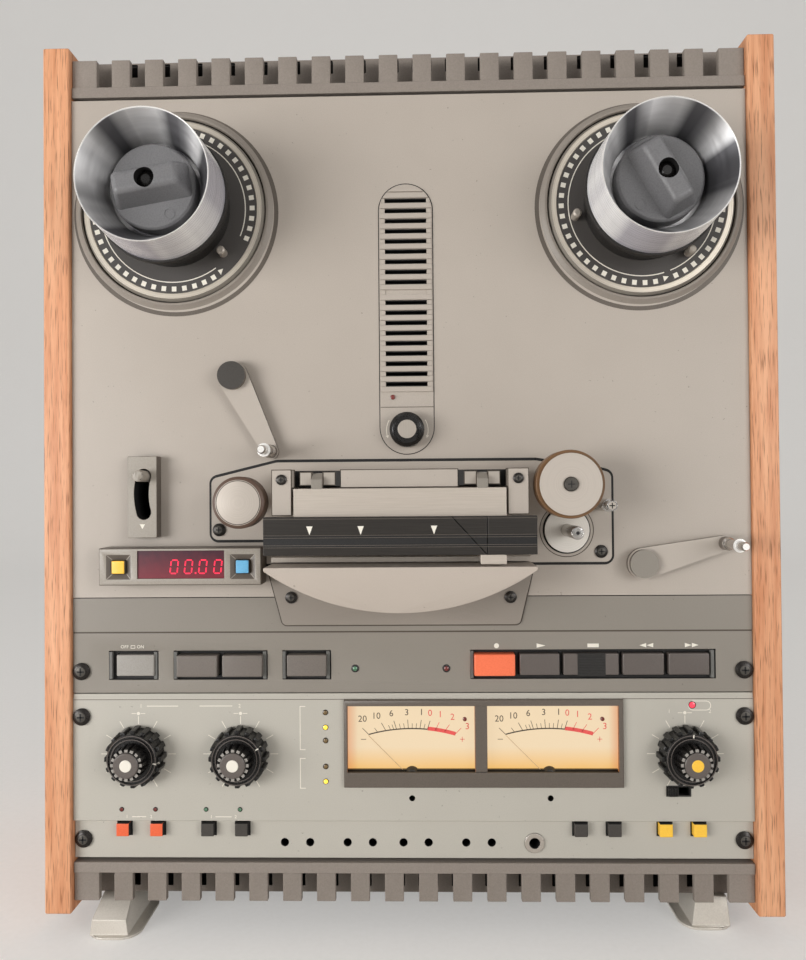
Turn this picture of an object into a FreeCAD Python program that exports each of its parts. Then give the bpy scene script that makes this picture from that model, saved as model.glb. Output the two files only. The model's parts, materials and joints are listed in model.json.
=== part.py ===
import FreeCAD, Part
import math
import os
from FreeCAD import Vector

# Reel-to-reel tape recorder standing upright on four cast feet.
# Millimetres. X is to the right, Z is up from the floor, the front faces -Y.
# While modelling, Y = 0 is the plane of the grille teeth and depth grows towards the back;
# save() then shifts everything so that Y = 0 is the middle of the whole depth.

# Case
case_width = 411.0
case_depth = 185.0
foot_height = 20.0
sheet = 1.5
floor_drop = 0.6
roof_rise = 4.6
case_front = 14.0

# Wooden side panels
side_thick = 16.2
side_proud = 4.0
side_drop = 6.4
side_rise = 6.0
side_round = 1.2

# Toothed grilles, one at the bottom and one at the top
tooth_height = 17.2
tooth_width = 11.4
tooth_pitch = 20.6
tooth_depth = 4.0
grille_depth = 12.0
end_block_least = 15.0
lip_height = 6.4
lip_proud = 1.0
grille_wall = 2.0
grille_hole_width = 12.0
grille_hole_height = 8.0
grille_hole_inset = 4.0
roof_hole_inset = 1.0

# Front panels, stacked from the bottom grille to the top one
panel_face = -1.0
panel_thick = 5.0
panel_gap = 2.0
amp_height = 97.4
strip_gap = 3.1
strip_height = 36.4
seam = 0.5
band_height = 20.6
deck_height = 304.8
side_clearance = 0.3

# Chassis plate behind the panels
chassis_thick = 3.0
flange_depth = 60.0
window_margin = 9.0

# Reels
ring_side_margin = 2.2
ring_top_margin = 7.8
turntable_r = 55.8
turntable_thick = 4.0
turntable_face = -3.0
well_clearance = 0.8
ring_width = 3.4
ring_foot = 1.0
drive_pin_r = 2.5
drive_pin_gap = 3.5
drive_pin_height = 8.0
supply_pin_turn = 11.4
takeup_pin_turn = 18.6
spindle_r = 5.0
spindle_tip = -50.0
shaft_r = 6.0
shaft_reach = 35.0
fit = 0.05
gap = 0.3

# Hub adapters for large reels
hub_front = -57.0
hub_rim_r = 36.8
hub_seat_r = 37.9
hub_seat_y = -27.0
hub_rubber_lip = 1.3
hub_rubber_y = -23.0
hub_foot_r = 35.0
hub_rim_wall = 0.6
hub_well_r = 27.0
hub_well_top = -35.6
hub_floor = -29.5
hub_straight = 8.0
knob_gap = 2.0
knob_face = -39.6
knob_rib_top = -56.0
knob_rib_width = 12.0
knob_rib_foot = 20.0
knob_rib_inset = 2.0
knob_hole_gap = 0.5
supply_knob_turn = 10.0
takeup_knob_turn = -60.0

# Tape plane
tape_y = -31.0
tape_width = 6.35
roller_height = 12.0

# Tension arms, each from its pivot to its tape stud
supply_pivot = (-105.4, 133.7)
supply_stud = (-82.3, 87.8)
takeup_pivot = (139.2, 19.4)
takeup_stud = (187.5, 31.2)
arm_root_r = 9.3
arm_tip_r = 4.6
arm_front = -7.0
arm_back = -4.0
arm_cap_r = 8.4
arm_cap_front = -10.0
arm_shaft_r = 4.0
arm_shaft_reach = 7.0
arm_collar = 3.0
stud_tip = -36.0

# Pitch plate: a round-ended trim plate with cooling slots and the pitch knob
pitch_x = -0.4
pitch_top = 250.1
pitch_bottom = 86.0
pitch_r = 16.2
slot_inset = 2.7
slot_height = 2.8
slot_step = 6.2
slot_top = 239.9
slots_each = 9
pitch_knob_z = 100.3
pitch_knob_r = 10.4
pitch_knob_front = -12.0
pitch_shaft_r = 3.0

# Cue plate and lever
cue_left = -168.2
cue_right = -150.7
cue_bottom = 36.7
cue_top = 85.6
cue_front = -9.0
cue_slot_x = -160.0
cue_slot_z = 62.8
cue_radius = 42.0
cue_slot_r = 4.4
cue_half_angle = 15.0
cue_knob_r = 3.4
cue_knob_front = -19.0
cue_arm_thick = 3.0

# Counter housing
counter_left = -183.0
counter_right = -86.6
counter_bottom = 9.1
counter_top = 31.0
counter_front = -16.0
counter_wall = 1.6
display_left = -160.0
display_right = -108.5
display_bottom = 13.0
memory_x = -171.2
reset_x = -97.6
counter_button_z = 19.9
counter_button = 7.6
counter_button_front = -17.0

# Head assembly
head_x = -4.3
base_face = -3.0
base_corners = (
    (-119.3, 34.8, 4.0),
    (-86.0, 34.8, 0.5),
    (-86.0, 20.2, 0.5),
    (121.7, 20.2, 4.0),
    (121.7, 73.6, 4.0),
    (116.0, 75.2, 4.0),
    (77.0, 81.3, 8.0),
    (-79.6, 81.4, 8.0),
    (-119.3, 71.8, 4.0),
)
base_gap = 0.8
post_front = -36.0
post_bottom = 50.6
post_top = 75.7
left_post = (-76.0, -65.5)
right_post = (56.5, 67.5)
beam_front = -34.0
beam_bottom = 66.1
beam_top = 75.6
recess_back = -26.0
left_recess = (-64.0, -37.4)
right_recess = (28.2, 55.8)
lug_width = 6.4
ear_width = 6.0
hinge_y = -30.5
hinge_z = 70.9
hinge_pin_r = 1.5
hinge_knuckle_r = 3.2
flap_half = 59.4
flap_front = -38.0
flap_thick = 3.0
flap_top = 65.3
flap_lip = 0.8
splice_half = 75.6
splice_front = -43.0
splice_bottom = 28.3
splice_top = 49.6
splice_groove_z = 36.2
splice_groove_depth = 0.4
cut_width = 0.5
cut_depth = 1.5
cut_x = 48.2
cut_run = 19.4
tab_left = 40.3
tab_width = 14.2
tab_gap = 1.3
shelf_gap = 0.9
shelf_thick = 2.7
shelf_front = -20.0

# Heads and guides behind the flap
head_offsets = (-49.8, -21.5, 18.9)
head_width = 13.0
head_bottom = 38.9
head_height = 15.0
head_round = 5.0
neck_width = 9.0
guide_offsets = (-35.7, 38.3)
guide_z = 42.5
guide_r = 2.5
pin_x = 113.7
pin_z = 54.6
pin_r = 2.6
pin_tip = -37.0

# Lower head cover
tape_slot = 6.6
cover_arc_drop = 23.3
cover_front = -43.0
cover_wall = 2.0
apron_thick = 2.0
apron_top = 18.4
apron_bottom = -17.0
apron_top_left = -85.8
apron_top_right = 75.2
apron_bottom_left = -76.3
apron_bottom_right = 66.4

# Rollers and capstan
idler_x = -94.9
idler_z = 57.8
idler_r = 14.7
idler_lip = 1.9
roller_shaft_r = 4.0
pinch_x = 90.8
pinch_r = 19.2
pinch_gap = 4.4
pinch_lip = 2.7
pinch_reach = 37.2
pinch_pivot_drop = 4.8
pinch_swing = 6.5
pinch_pin_r = 4.0
arm_gap = 1.0
pinch_arm_thick = 4.0
pinch_arm_r = 8.0
capstan_x = 94.8
capstan_z = 39.4
capstan_r = 3.7
capstan_tip = -36.0
capstan_boss_r = 13.3
capstan_boss_front = -5.0
capstan_groove_r = 15.7
flywheel_r = 38.0
flywheel_gap = 9.0
flywheel_thick = 12.0
capstan_reach = 37.0
motor_leg = 6.0

# Motors
reel_motor_r = 48.0
reel_motor_length = 68.0
capstan_motor_r = 34.0
capstan_motor_length = 34.0

# Transport keys: left edge, width, front of the cap
key_bottom = 10.4
key_top = 23.3
power_key = (-178.1, 23.0, -2.2)
speed_key = (-140.6, 24.6, -5.0)
reel_key = (-113.0, 24.2, -5.0)
edit_key = (-74.0, 23.8, -4.0)
record_key = (38.8, 24.4, -4.5)
play_key = (66.1, 23.9, -2.5)
stop_key = (92.3, 33.0, -2.5)
rewind_key = (127.6, 24.6, -2.5)
forward_key = (154.9, 24.2, -2.5)
key_pockets = ((-183.0, -152.8), (-143.4, -86.2), (-77.0, -47.6), (36.6, 183.2))
pocket_bottom = 8.0
pocket_top = 25.5
pocket_depth = 2.5
key_length = 15.0
key_round = 0.8
key_travel = 3.0
stem = 3.0

# Amplifier panel
step_z = 23.3
step_depth = 2.5
dial_z = 63.6
dial_x = (-165.2, -102.8, 164.5)
dial_r = 17.5
dial_shoulder_r = 15.0
dial_shoulder_y = -10.0
dial_front = -13.0
dial_tube = 1.2
inner_dial_r = 10.2
inner_dial_face_r = 6.9
inner_dial_front = -22.0
inner_shaft_r = 3.0
small_button = 7.7
small_button_z = 18.2
small_button_out = 4.1
small_button_x = (-174.6, -154.0, -123.0, -102.4, 101.8, 122.0, 152.4, 172.6)
trim_x = (-76.7, -61.3, -38.5, -23.2, -4.6, 10.6, 33.3, 48.7)
trim_z = 9.3
trim_r = 2.5
zero_z = 36.9
zero_r = 1.8
phones_x = 74.4
phones_r = 3.2
phones_wall = 1.6
phones_ring = 1.3
phones_ring_out = 1.2
slider_left = 153.3
slider_right = 167.3
slider_bottom = 38.4
slider_top = 44.1
slider_width = 6.0
slider_front = -3.5

# Meters
meter_left = -40.0
meter_right = 127.5
meter_bottom = 43.9
meter_top = 96.5
meter_front = -3.5
window_left = -37.9
window_right = 124.6
window_bottom = 53.1
window_top = 92.8
meter_lip = 0.6
meter_wall = 1.0
meter_back = 26.0
scale_y = 3.0
scale_thick = 1.2
divider_left = 39.0
divider_right = 46.3
needle_x = (0.9, 84.0)
needle_z = 47.7
needle_clearance = 4.1
needle_width = 0.8
needle_y = 0.8
needle_thick = 0.8
needle_hub_r = 1.8
needle_axle_r = 1.0
needle_lean = 45.0

# Screws
rack_screw_r = 5.2
rack_screw_inset = 5.7
strip_screw_z = 13.2
amp_screw_z = (11.3, 86.2)
base_screw_r = 3.9
base_screws = ((-114.6, 40.9), (115.2, 26.5))
post_screw_r = 3.0
post_screw_drop = 5.3
post_screw_depth = 9.0
apron_screw_r = 3.6
apron_screws = ((-71.1, -0.2), (60.9, -0.5))
head_dome = 0.42
shank_share = 0.45

# Feet
foot_x = 182.5
foot_width = 23.6
foot_taper = 0.13
foot_base_offset = 2.2
foot_base_width = 31.6
foot_base_thick = 1.5
foot_base_margin = 3.0
foot_base_round = 11.0
foot_length = 43.0
toe_height = 10.5
foot_slope = 16.0
toe_y = -4.0
heel_y = 9.0
rear_toe_y = 183.0

# Back
socket_out = 8.0
socket_r = 4.15
socket_hole_r = 1.6
socket_flange = 1.5
socket_flange_r = 5.8
socket_spacing = 22.0
socket_z = 92.0
socket_x = -120.0
inlet_x = 130.0
inlet_z = 92.0
inlet_width = 27.0
inlet_height = 20.0
inlet_depth = 16.0
vent_length = 46.0
vent_height = 4.0
vent_step = 12.0
vent_rows = 8

# Electronics
board_gap = 25.0
board_thick = 1.6
switch_width = 10.0
switch_depth = 4.0
button_switch_depth = 8.0
pot_r = 8.0
transformer_y = 90.0
winding_out = 12.0
transformer = (70.0, 60.0, 55.0)

# Sizes that follow from the ones above
hub_rubber_r = hub_seat_r + hub_rubber_lip
knob_r = hub_well_r - knob_gap
knob_rib_length = 2 * (knob_r - knob_rib_inset)
knob_hole_r = spindle_r + knob_hole_gap
drive_pin_orbit = hub_foot_r + drive_pin_r + drive_pin_gap
well_r = turntable_r + well_clearance
ring_r = well_r + ring_width + ring_foot
arm_collar_r = arm_shaft_r + arm_collar
slot_length = 2 * (pitch_r - slot_inset)
cover_top = splice_bottom - tape_slot
flap_bottom = splice_bottom + flap_lip
tab_bottom = cover_top + tab_gap
shelf_bottom = cover_top + shelf_gap
idler_cap_r = idler_r - idler_lip
pinch_cap_r = pinch_r - pinch_lip
pinch_z = capstan_z + capstan_r + pinch_gap + pinch_r
dial_tube_r = inner_shaft_r + dial_tube
phones_barrel_r = phones_r + phones_wall
phones_ring_r = phones_barrel_r + phones_ring
needle_reach = window_top - needle_z - needle_clearance

# Datums that follow from the sizes above
case_half = case_width / 2
panel_half = case_half - side_clearance
panel_back = panel_face + panel_thick
chassis_back = panel_back + chassis_thick
swing_arm_y = chassis_back + arm_gap
flywheel_front = chassis_back + flywheel_gap
board_y = chassis_back + board_gap
shaft_end = chassis_back + shaft_reach
capstan_end = chassis_back + capstan_reach
arm_shaft_end = chassis_back + arm_shaft_reach
case_bottom = foot_height
lip_bottom = case_bottom + tooth_height
lip_top = lip_bottom + lip_height
amp_bottom = lip_top + panel_gap
amp_top = amp_bottom + amp_height
strip_bottom = amp_top + strip_gap
strip_top = strip_bottom + strip_height
band_bottom = strip_top + seam
band_top = band_bottom + band_height
deck_bottom = band_top + seam
deck_top = deck_bottom + deck_height
case_top = deck_top + panel_gap + lip_height + tooth_height
reel_z = deck_top - ring_r - ring_top_margin
reel_spread = panel_half - ring_r - ring_side_margin
sheet_bottom = case_bottom - floor_drop
sheet_top = case_top + roof_rise
lower_face = panel_face + step_depth
back_most = case_depth + socket_out
row_shift = -(hub_front + back_most) / 2
cue_pivot_x = cue_slot_x + cue_radius
hinge_height = deck_bottom + hinge_z
pinch_pivot = (pinch_x + pinch_reach, deck_bottom + pinch_z - pinch_pivot_drop)
roller_front = tape_y - roller_height / 2
roller_back = tape_y + roller_height / 2


# Shape helpers
def block(x0, x1, y0, y1, z0, z1):
    return Part.makeBox(x1 - x0, y1 - y0, z1 - z0, Vector(x0, y0, z0))


def soft_block(x0, x1, y0, y1, z0, z1, radius):
    solid = block(x0, x1, y0, y1, z0, z1)
    return solid.makeFillet(radius, solid.Edges)


def rod(radius, y0, y1, x, z):
    return Part.makeCylinder(radius, y1 - y0, Vector(x, y0, z), Vector(0, 1, 0))


def outward(solid):
    if solid.Volume < 0:
        solid.reverse()
    return solid


def bar(radius, x0, x1, y, z):
    return Part.makeCylinder(radius, x1 - x0, Vector(x0, y, z), Vector(1, 0, 0))


def turned(profile, x, z):
    """A solid of revolution about the line along Y through (x, z), from (radius, y) points."""
    points = [Vector(x + r, y, z) for r, y in profile]
    face = Part.Face(Part.makePolygon(points + points[:1]))
    return outward(face.revolve(Vector(x, 0, z), Vector(0, 1, 0), 360))


def outline(corners, y):
    """A closed wire on the plane y through (x, z, radius) corners, each rounded to its radius."""
    points = [Vector(x, y, z) for x, z, radius in corners]
    arcs = []
    for i, (x, z, radius) in enumerate(corners):
        before = (points[i - 1] - points[i]).normalize()
        after = (points[(i + 1) % len(points)] - points[i]).normalize()
        half = before.getAngle(after) / 2
        inward = (before + after).normalize()
        centre = points[i] + inward * (radius / math.sin(half))
        reach = radius / math.tan(half)
        arcs.append((points[i] + before * reach, centre - inward * radius, points[i] + after * reach))
    edges = []
    for i, (start, middle, end) in enumerate(arcs):
        edges.append(Part.Arc(start, middle, end).toShape())
        edges.append(Part.LineSegment(end, arcs[(i + 1) % len(arcs)][0]).toShape())
    return Part.Wire(edges)


def plate(corners, y0, y1, grow=0.0):
    wire = outline(corners, y0)
    if grow:
        wire = wire.makeOffset2D(grow)
    return outward(Part.Face(wire).extrude(Vector(0, y1 - y0, 0)))


def slab(points, y0, y1):
    """A flat-sided plate from (x, z) points, between two depths."""
    corners = [Vector(x, y0, z) for x, z in points]
    face = Part.Face(Part.makePolygon(corners + corners[:1]))
    return outward(face.extrude(Vector(0, y1 - y0, 0)))


def rib(points, x0, x1):
    """A solid of one section along X, from (y, z) points."""
    corners = [Vector(x0, y, z) for y, z in points]
    face = Part.Face(Part.makePolygon(corners + corners[:1]))
    return outward(face.extrude(Vector(x1 - x0, 0, 0)))


def capsule(start, end, r0, r1, y0, y1):
    """A plate between two depths whose ends are round about (x, z) points, with straight sides."""
    a = Vector(start[0], y0, start[1])
    b = Vector(end[0], y0, end[1])
    along = (b - a).normalize()
    across = Vector(along.z, 0, -along.x)
    lean = (r0 - r1) / (b - a).Length
    side = math.sqrt(1 - lean * lean)
    up = across * side + along * lean
    down = across * -side + along * lean
    edges = [
        Part.LineSegment(a + up * r0, b + up * r1).toShape(),
        Part.Arc(b + up * r1, b + along * r1, b + down * r1).toShape(),
        Part.LineSegment(b + down * r1, a + down * r0).toShape(),
        Part.Arc(a + down * r0, a - along * r0, a + up * r0).toShape(),
    ]
    face = Part.Face(Part.Wire(edges))
    return outward(face.extrude(Vector(0, y1 - y0, 0)))


def turn(solid, x, z, degrees):
    """Turned about the line along Y through (x, z); positive is clockwise seen from the front."""
    copy = solid.copy()
    copy.rotate(Vector(x, 0, z), Vector(0, 1, 0), degrees)
    return copy


def save(name, *solids):
    for solid in solids:
        solid.translate(Vector(0, row_shift, 0))
    shape = solids[0] if len(solids) == 1 else Part.makeCompound(list(solids))
    shape.exportStep(f"parts/{name}.step")


# Case pieces
def side_panel(side):
    inner = side * case_half
    outer = side * (case_half + side_thick)
    return soft_block(
        min(inner, outer),
        max(inner, outer),
        -side_proud,
        case_depth,
        case_bottom - side_drop,
        case_top + side_rise,
        side_round,
    )


def grille(reach, inset):
    """A grille: a lip with hanging teeth in front of a pierced wall.

    The wall reaches past the ends of the teeth, and its holes start at the inset from its end.
    """
    tooth_gap = tooth_pitch - tooth_width
    count = int((2 * panel_half - 2 * end_block_least - tooth_gap) // tooth_pitch)
    end_block = (2 * panel_half - count * tooth_pitch - tooth_gap) / 2
    bar = block(-panel_half, panel_half, -lip_proud, grille_depth, lip_bottom, lip_top)
    wall_back = grille_depth + grille_wall
    wall_end = case_bottom - reach
    wall = block(-panel_half, panel_half, grille_depth, wall_back, wall_end, lip_top)
    teeth = [
        block(-panel_half, -panel_half + end_block, 0, tooth_depth, case_bottom, lip_bottom),
        block(panel_half - end_block, panel_half, 0, tooth_depth, case_bottom, lip_bottom),
    ]
    holes = []
    first = -panel_half + end_block + tooth_gap
    low = wall_end + inset
    high = low + grille_hole_height
    for i in range(count):
        left = first + i * tooth_pitch
        teeth.append(block(left, left + tooth_width, 0, tooth_depth, case_bottom, lip_bottom))
        hole_x = left + (tooth_width - grille_hole_width) / 2
        holes.append(
            block(hole_x, hole_x + grille_hole_width, grille_depth, wall_back, low, high)
        )
    return bar.fuse(teeth + [wall.cut(holes)]).removeSplitter()


def top_grille():
    shape = grille(roof_rise, roof_hole_inset)
    return shape.mirror(Vector(0, 0, (case_bottom + case_top) / 2), Vector(0, 0, 1))


def rear_cover():
    """Sheet steel tray that closes the case behind the front: floor, roof, sides and back."""
    outer = block(-case_half, case_half, case_front, case_depth, sheet_bottom, sheet_top)
    inner = block(
        -case_half + sheet,
        case_half - sheet,
        case_front,
        case_depth - sheet,
        sheet_bottom + sheet,
        sheet_top - sheet,
    )
    cuts = [inner]
    for column in (-2, -1, 1, 2):
        left = column * (vent_length + vent_step) - vent_length / 2
        for row in range(vent_rows):
            z = reel_z + vent_step * (vent_rows / 2 - row)
            right = left + vent_length
            cuts.append(block(left, right, case_depth - sheet, case_depth, z, z + vent_height))
            y = case_front + (2 + row) * vent_step
            cuts.append(block(left, right, y, y + vent_height, sheet_top - sheet, sheet_top))
    for i in range(4):
        x = socket_x + i * socket_spacing
        cuts.append(rod(socket_r, case_depth - sheet, case_depth, x, socket_z))
    cuts.append(
        block(
            inlet_x - inlet_width / 2,
            inlet_x + inlet_width / 2,
            case_depth - sheet,
            case_depth,
            inlet_z - inlet_height / 2,
            inlet_z + inlet_height / 2,
        )
    )
    return outer.cut(cuts)


def pinch_slot(y0, y1):
    """The slot that lets the pinch roller's shaft swing."""
    rest = Vector(pinch_x, 0, deck_bottom + pinch_z)
    axis = Vector(pinch_pivot[0], 0, pinch_pivot[1])
    spin = FreeCAD.Rotation(Vector(0, 1, 0), -pinch_swing)
    pressed = axis + spin.multVec(rest - axis)
    width = roller_shaft_r + 2 * gap
    return capsule((rest.x, rest.z), (pressed.x, pressed.z), width, width, y0, y1)


def cue_sweep(radius, y0, y1):
    """The curved way of the cue lever, as a ring sector with round ends."""
    z = deck_bottom + cue_slot_z
    start = math.radians(180 - cue_half_angle)
    stop = math.radians(180 + cue_half_angle)

    def point(r, angle):
        return Vector(cue_pivot_x + r * math.cos(angle), y0, z + r * math.sin(angle))

    outer = cue_radius + radius
    inner = cue_radius - radius
    side = radius / cue_radius
    edges = [
        Part.Arc(point(outer, start), point(outer, math.pi), point(outer, stop)).toShape(),
        Part.Arc(point(outer, stop), point(cue_radius, stop + side), point(inner, stop)).toShape(),
        Part.Arc(point(inner, stop), point(inner, math.pi), point(inner, start)).toShape(),
        Part.Arc(point(inner, start), point(cue_radius, start - side), point(outer, start)).toShape(),
    ]
    return outward(Part.Face(Part.Wire(edges)).extrude(Vector(0, y1 - y0, 0)))


def chassis_frame():
    """Steel plate that carries the panels, the motors and every shaft, with two side flanges."""
    body = block(-panel_half, panel_half, panel_back, chassis_back, amp_bottom, deck_top)
    edge = case_half - window_margin
    cuts = shank_holes(panel_back, chassis_back) + [
        block(-edge, edge, panel_back, chassis_back, amp_bottom + window_margin / 2, amp_top),
        block(-edge, edge, panel_back, chassis_back, strip_bottom + seam, strip_top - seam),
        pinch_slot(panel_back, chassis_back),
        cue_sweep(cue_slot_r + gap, panel_back, chassis_back),
        rod(capstan_r + fit, panel_back, chassis_back, capstan_x, deck_bottom + capstan_z),
        rod(pitch_shaft_r + fit, panel_back, chassis_back, pitch_x, deck_bottom + pitch_knob_z),
        block(
            pitch_x - slot_length / 2,
            pitch_x + slot_length / 2,
            panel_back,
            chassis_back,
            deck_bottom + slot_top - 2 * slots_each * slot_step,
            deck_bottom + slot_top + slot_step,
        ),
    ]
    for x in (-reel_spread, reel_spread):
        cuts.append(rod(shaft_r + gap, panel_back, chassis_back, x, reel_z))
    for x, z in (supply_pivot, takeup_pivot):
        cuts.append(rod(arm_shaft_r + fit, panel_back, chassis_back, x, deck_bottom + z))
    flange_inner = case_half - 2 * sheet
    flanges = [
        block(-case_half + sheet, -flange_inner, panel_back, flange_depth, amp_bottom, deck_top),
        block(flange_inner, case_half - sheet, panel_back, flange_depth, amp_bottom, deck_top),
    ]
    cue_end = swing_arm_y + cue_arm_thick
    cue_post = rod(pinch_pin_r, chassis_back, cue_end, cue_pivot_x, deck_bottom + cue_slot_z)
    pinch_post = rod(pinch_pin_r, chassis_back, swing_arm_y + pinch_arm_thick, *pinch_pivot)
    return body.cut(cuts).fuse(flanges + [cue_post, pinch_post]).removeSplitter()


# Front panels
def pitch_corners():
    low = deck_bottom + pitch_bottom
    high = deck_bottom + pitch_top
    left = pitch_x - pitch_r
    right = pitch_x + pitch_r
    round_end = pitch_r - seam / 10
    ends = ((left, low), (right, low), (right, high), (left, high))
    return [(x, z, round_end) for x, z in ends]


def base_outline():
    return [(x, deck_bottom + z, radius) for x, z, radius in base_corners]


def deck_plate():
    """The deck that the reels and the tape path stand on, with a raised ring round each turntable."""
    body = block(-panel_half, panel_half, panel_face, panel_back, deck_bottom, deck_top)
    rings = []
    cuts = shank_holes(panel_face, panel_back) + [
        plate(base_outline(), panel_face, panel_back, base_gap),
        plate(pitch_corners(), panel_face, panel_back, gap),
        cue_sweep(cue_slot_r + gap, panel_face, panel_back),
    ]
    for x in (-reel_spread, reel_spread):
        profile = [
            (well_r, panel_face),
            (well_r, turntable_face + seam),
            (well_r + seam, turntable_face),
            (well_r + ring_width / 2, turntable_face),
            (well_r + ring_width, panel_face - seam),
            (ring_r, panel_face),
        ]
        rings.append(turned(profile, x, reel_z))
        cuts.append(rod(well_r, panel_face, panel_back, x, reel_z))
    arm_holes = []
    for x, z in (supply_pivot, takeup_pivot):
        arm_holes.append(rod(arm_shaft_r + gap, turntable_face, panel_back, x, deck_bottom + z))
    return body.cut(cuts).fuse(rings).cut(arm_holes)


def band_plate():
    body = block(-panel_half, panel_half, panel_face, panel_back, band_bottom, band_top)
    return body.cut(shank_holes(panel_face, panel_back))


def all_keys():
    return {
        "power_key": power_key,
        "speed_key": speed_key,
        "reel_size_key": reel_key,
        "edit_key": edit_key,
        "record_key": record_key,
        "play_key": play_key,
        "stop_key": stop_key,
        "rewind_key": rewind_key,
        "forward_key": forward_key,
    }


def key_cap(left, width, front):
    """One push key: a cap in its guide hole with a stem that ends short of its switch."""
    bottom = strip_bottom + key_bottom
    top = strip_bottom + key_top
    back = front + key_length
    cap = soft_block(left, left + width, front, back, bottom, top, key_round)
    x = left + width / 2
    z = (bottom + top) / 2
    end = board_y - switch_depth - key_travel - seam
    return cap.fuse(block(x - stem, x + stem, back - 1, end, z - stem, z + stem))


def transport_panel():
    body = block(-panel_half, panel_half, panel_face, panel_back, strip_bottom, strip_top)
    cuts = shank_holes(panel_face, panel_back)
    for left, right in key_pockets:
        z0 = strip_bottom + pocket_bottom
        z1 = strip_bottom + pocket_top
        cuts.append(block(left, right, panel_face, panel_face + pocket_depth, z0, z1))
    for left, width, front in all_keys().values():
        z0 = strip_bottom + key_bottom - gap
        z1 = strip_bottom + key_top + gap
        cuts.append(block(left - gap, left + width + gap, panel_face, panel_back, z0, z1))
    return body.cut(cuts)


def amplifier_panel():
    """The lower panel, stepped back near its foot, with its cut-outs."""
    step = amp_bottom + step_z
    section = [
        (lower_face, amp_bottom),
        (lower_face, step - step_depth / 2),
        (panel_face, step),
        (panel_face, amp_top),
        (panel_back, amp_top),
        (panel_back, amp_bottom),
    ]
    body = rib(section, -panel_half, panel_half)
    half = small_button / 2 + gap
    cuts = shank_holes(panel_face, panel_back) + [
        meter_box(meter_lip, panel_face, panel_back),
        block(
            slider_left,
            slider_right,
            panel_face,
            panel_back,
            amp_bottom + slider_bottom,
            amp_bottom + slider_top,
        ),
        rod(phones_barrel_r, panel_face, panel_back, phones_x, amp_bottom + trim_z),
    ]
    for x in dial_x:
        cuts.append(rod(dial_tube_r + fit, panel_face, panel_back, x, amp_bottom + dial_z))
    for x in small_button_x:
        z = amp_bottom + small_button_z
        cuts.append(block(x - half, x + half, panel_face, panel_back, z - half, z + half))
    for x in trim_x:
        cuts.append(rod(trim_r, panel_face, panel_back, x, amp_bottom + trim_z))
    for x in needle_x:
        cuts.append(rod(zero_r, panel_face, panel_back, x, amp_bottom + zero_z))
    return body.cut(cuts)


# Trim pieces on the deck
def pitch_plate():
    body = plate(pitch_corners(), panel_face - gap, panel_back)
    cuts = [rod(pitch_shaft_r + fit, panel_face - gap, panel_back, pitch_x, deck_bottom + pitch_knob_z)]
    half = slot_length / 2
    for i in range(2 * slots_each + 1):
        if i == slots_each:
            continue
        z = deck_bottom + slot_top - i * slot_step - slot_height / 2
        cuts.append(
            block(pitch_x - half, pitch_x + half, panel_face - gap, panel_back, z, z + slot_height)
        )
    return body.cut(cuts)


def cue_plate():
    z0 = deck_bottom + cue_bottom
    z1 = deck_bottom + cue_top
    body = block(cue_left, cue_right, cue_front, panel_face, z0, z1)
    front_edges = [e for e in body.Edges if e.BoundBox.YMax < cue_front + gap]
    return body.makeFillet(gap, front_edges).cut(cue_sweep(cue_slot_r, cue_front, panel_face))


def counter_housing():
    """A raised box on the deck with a display window and two button wells."""
    z0 = deck_bottom + counter_bottom
    z1 = deck_bottom + counter_top
    body = block(counter_left, counter_right, counter_front, panel_face, z0, z1)
    front_edges = [e for e in body.Edges if e.BoundBox.YMax < counter_front + gap]
    body = body.makeChamfer(seam, front_edges)
    inner = block(
        counter_left + counter_wall,
        counter_right - counter_wall,
        counter_front + 2 * counter_wall,
        panel_face,
        z0 + counter_wall,
        z1 - counter_wall,
    )
    window = block(
        display_left,
        display_right,
        counter_front,
        counter_front + 2 * counter_wall,
        deck_bottom + display_bottom,
        z1 - counter_wall,
    )
    cuts = [inner, window]
    half = counter_button / 2 + gap
    flare = half + 2 * counter_wall
    z = deck_bottom + counter_button_z
    back = panel_face - counter_wall
    for x in (memory_x, reset_x):
        cuts.append(block(x - half, x + half, counter_front, back, z - half, z + half))
        cuts.append(funnel(x, z, flare, half, counter_front, counter_front + counter_wall))
    return body.cut(cuts)


def funnel(x, z, wide, narrow, y0, y1):
    """A square well whose sides slope in from wide to narrow."""
    rings = []
    for half, y in ((wide, y0), (narrow, y1)):
        corners = [Vector(x - half, y, z - half), Vector(x + half, y, z - half)]
        corners += [Vector(x + half, y, z + half), Vector(x - half, y, z + half)]
        rings.append(Part.makePolygon(corners + corners[:1]))
    return outward(Part.makeLoft(rings, True, True))


def display_glass():
    """The dark window of the counter."""
    z1 = deck_bottom + counter_top - counter_wall
    z0 = deck_bottom + display_bottom
    front = counter_front + counter_wall / 2
    return block(display_left, display_right, front, front + counter_wall, z0, z1)


# Head assembly
def head_base_plate():
    body = plate(base_outline(), base_face, panel_back)
    z = deck_bottom + capstan_z
    boss = rod(capstan_boss_r, capstan_boss_front, base_face, capstan_x, z)
    ring = turned(
        [
            (capstan_boss_r, base_face),
            (capstan_groove_r, base_face),
            (capstan_groove_r, base_face + 1),
            (capstan_boss_r, base_face + 1),
        ],
        capstan_x,
        z,
    )
    cuts = shank_holes(base_face, panel_back) + [
        ring,
        rod(capstan_r + fit, capstan_boss_front, panel_back, capstan_x, z),
        pinch_slot(base_face, panel_back),
        rod(roller_shaft_r, base_face, panel_back, idler_x, deck_bottom + idler_z),
    ]
    return body.fuse(boss).removeSplitter().cut(cuts)


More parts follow.
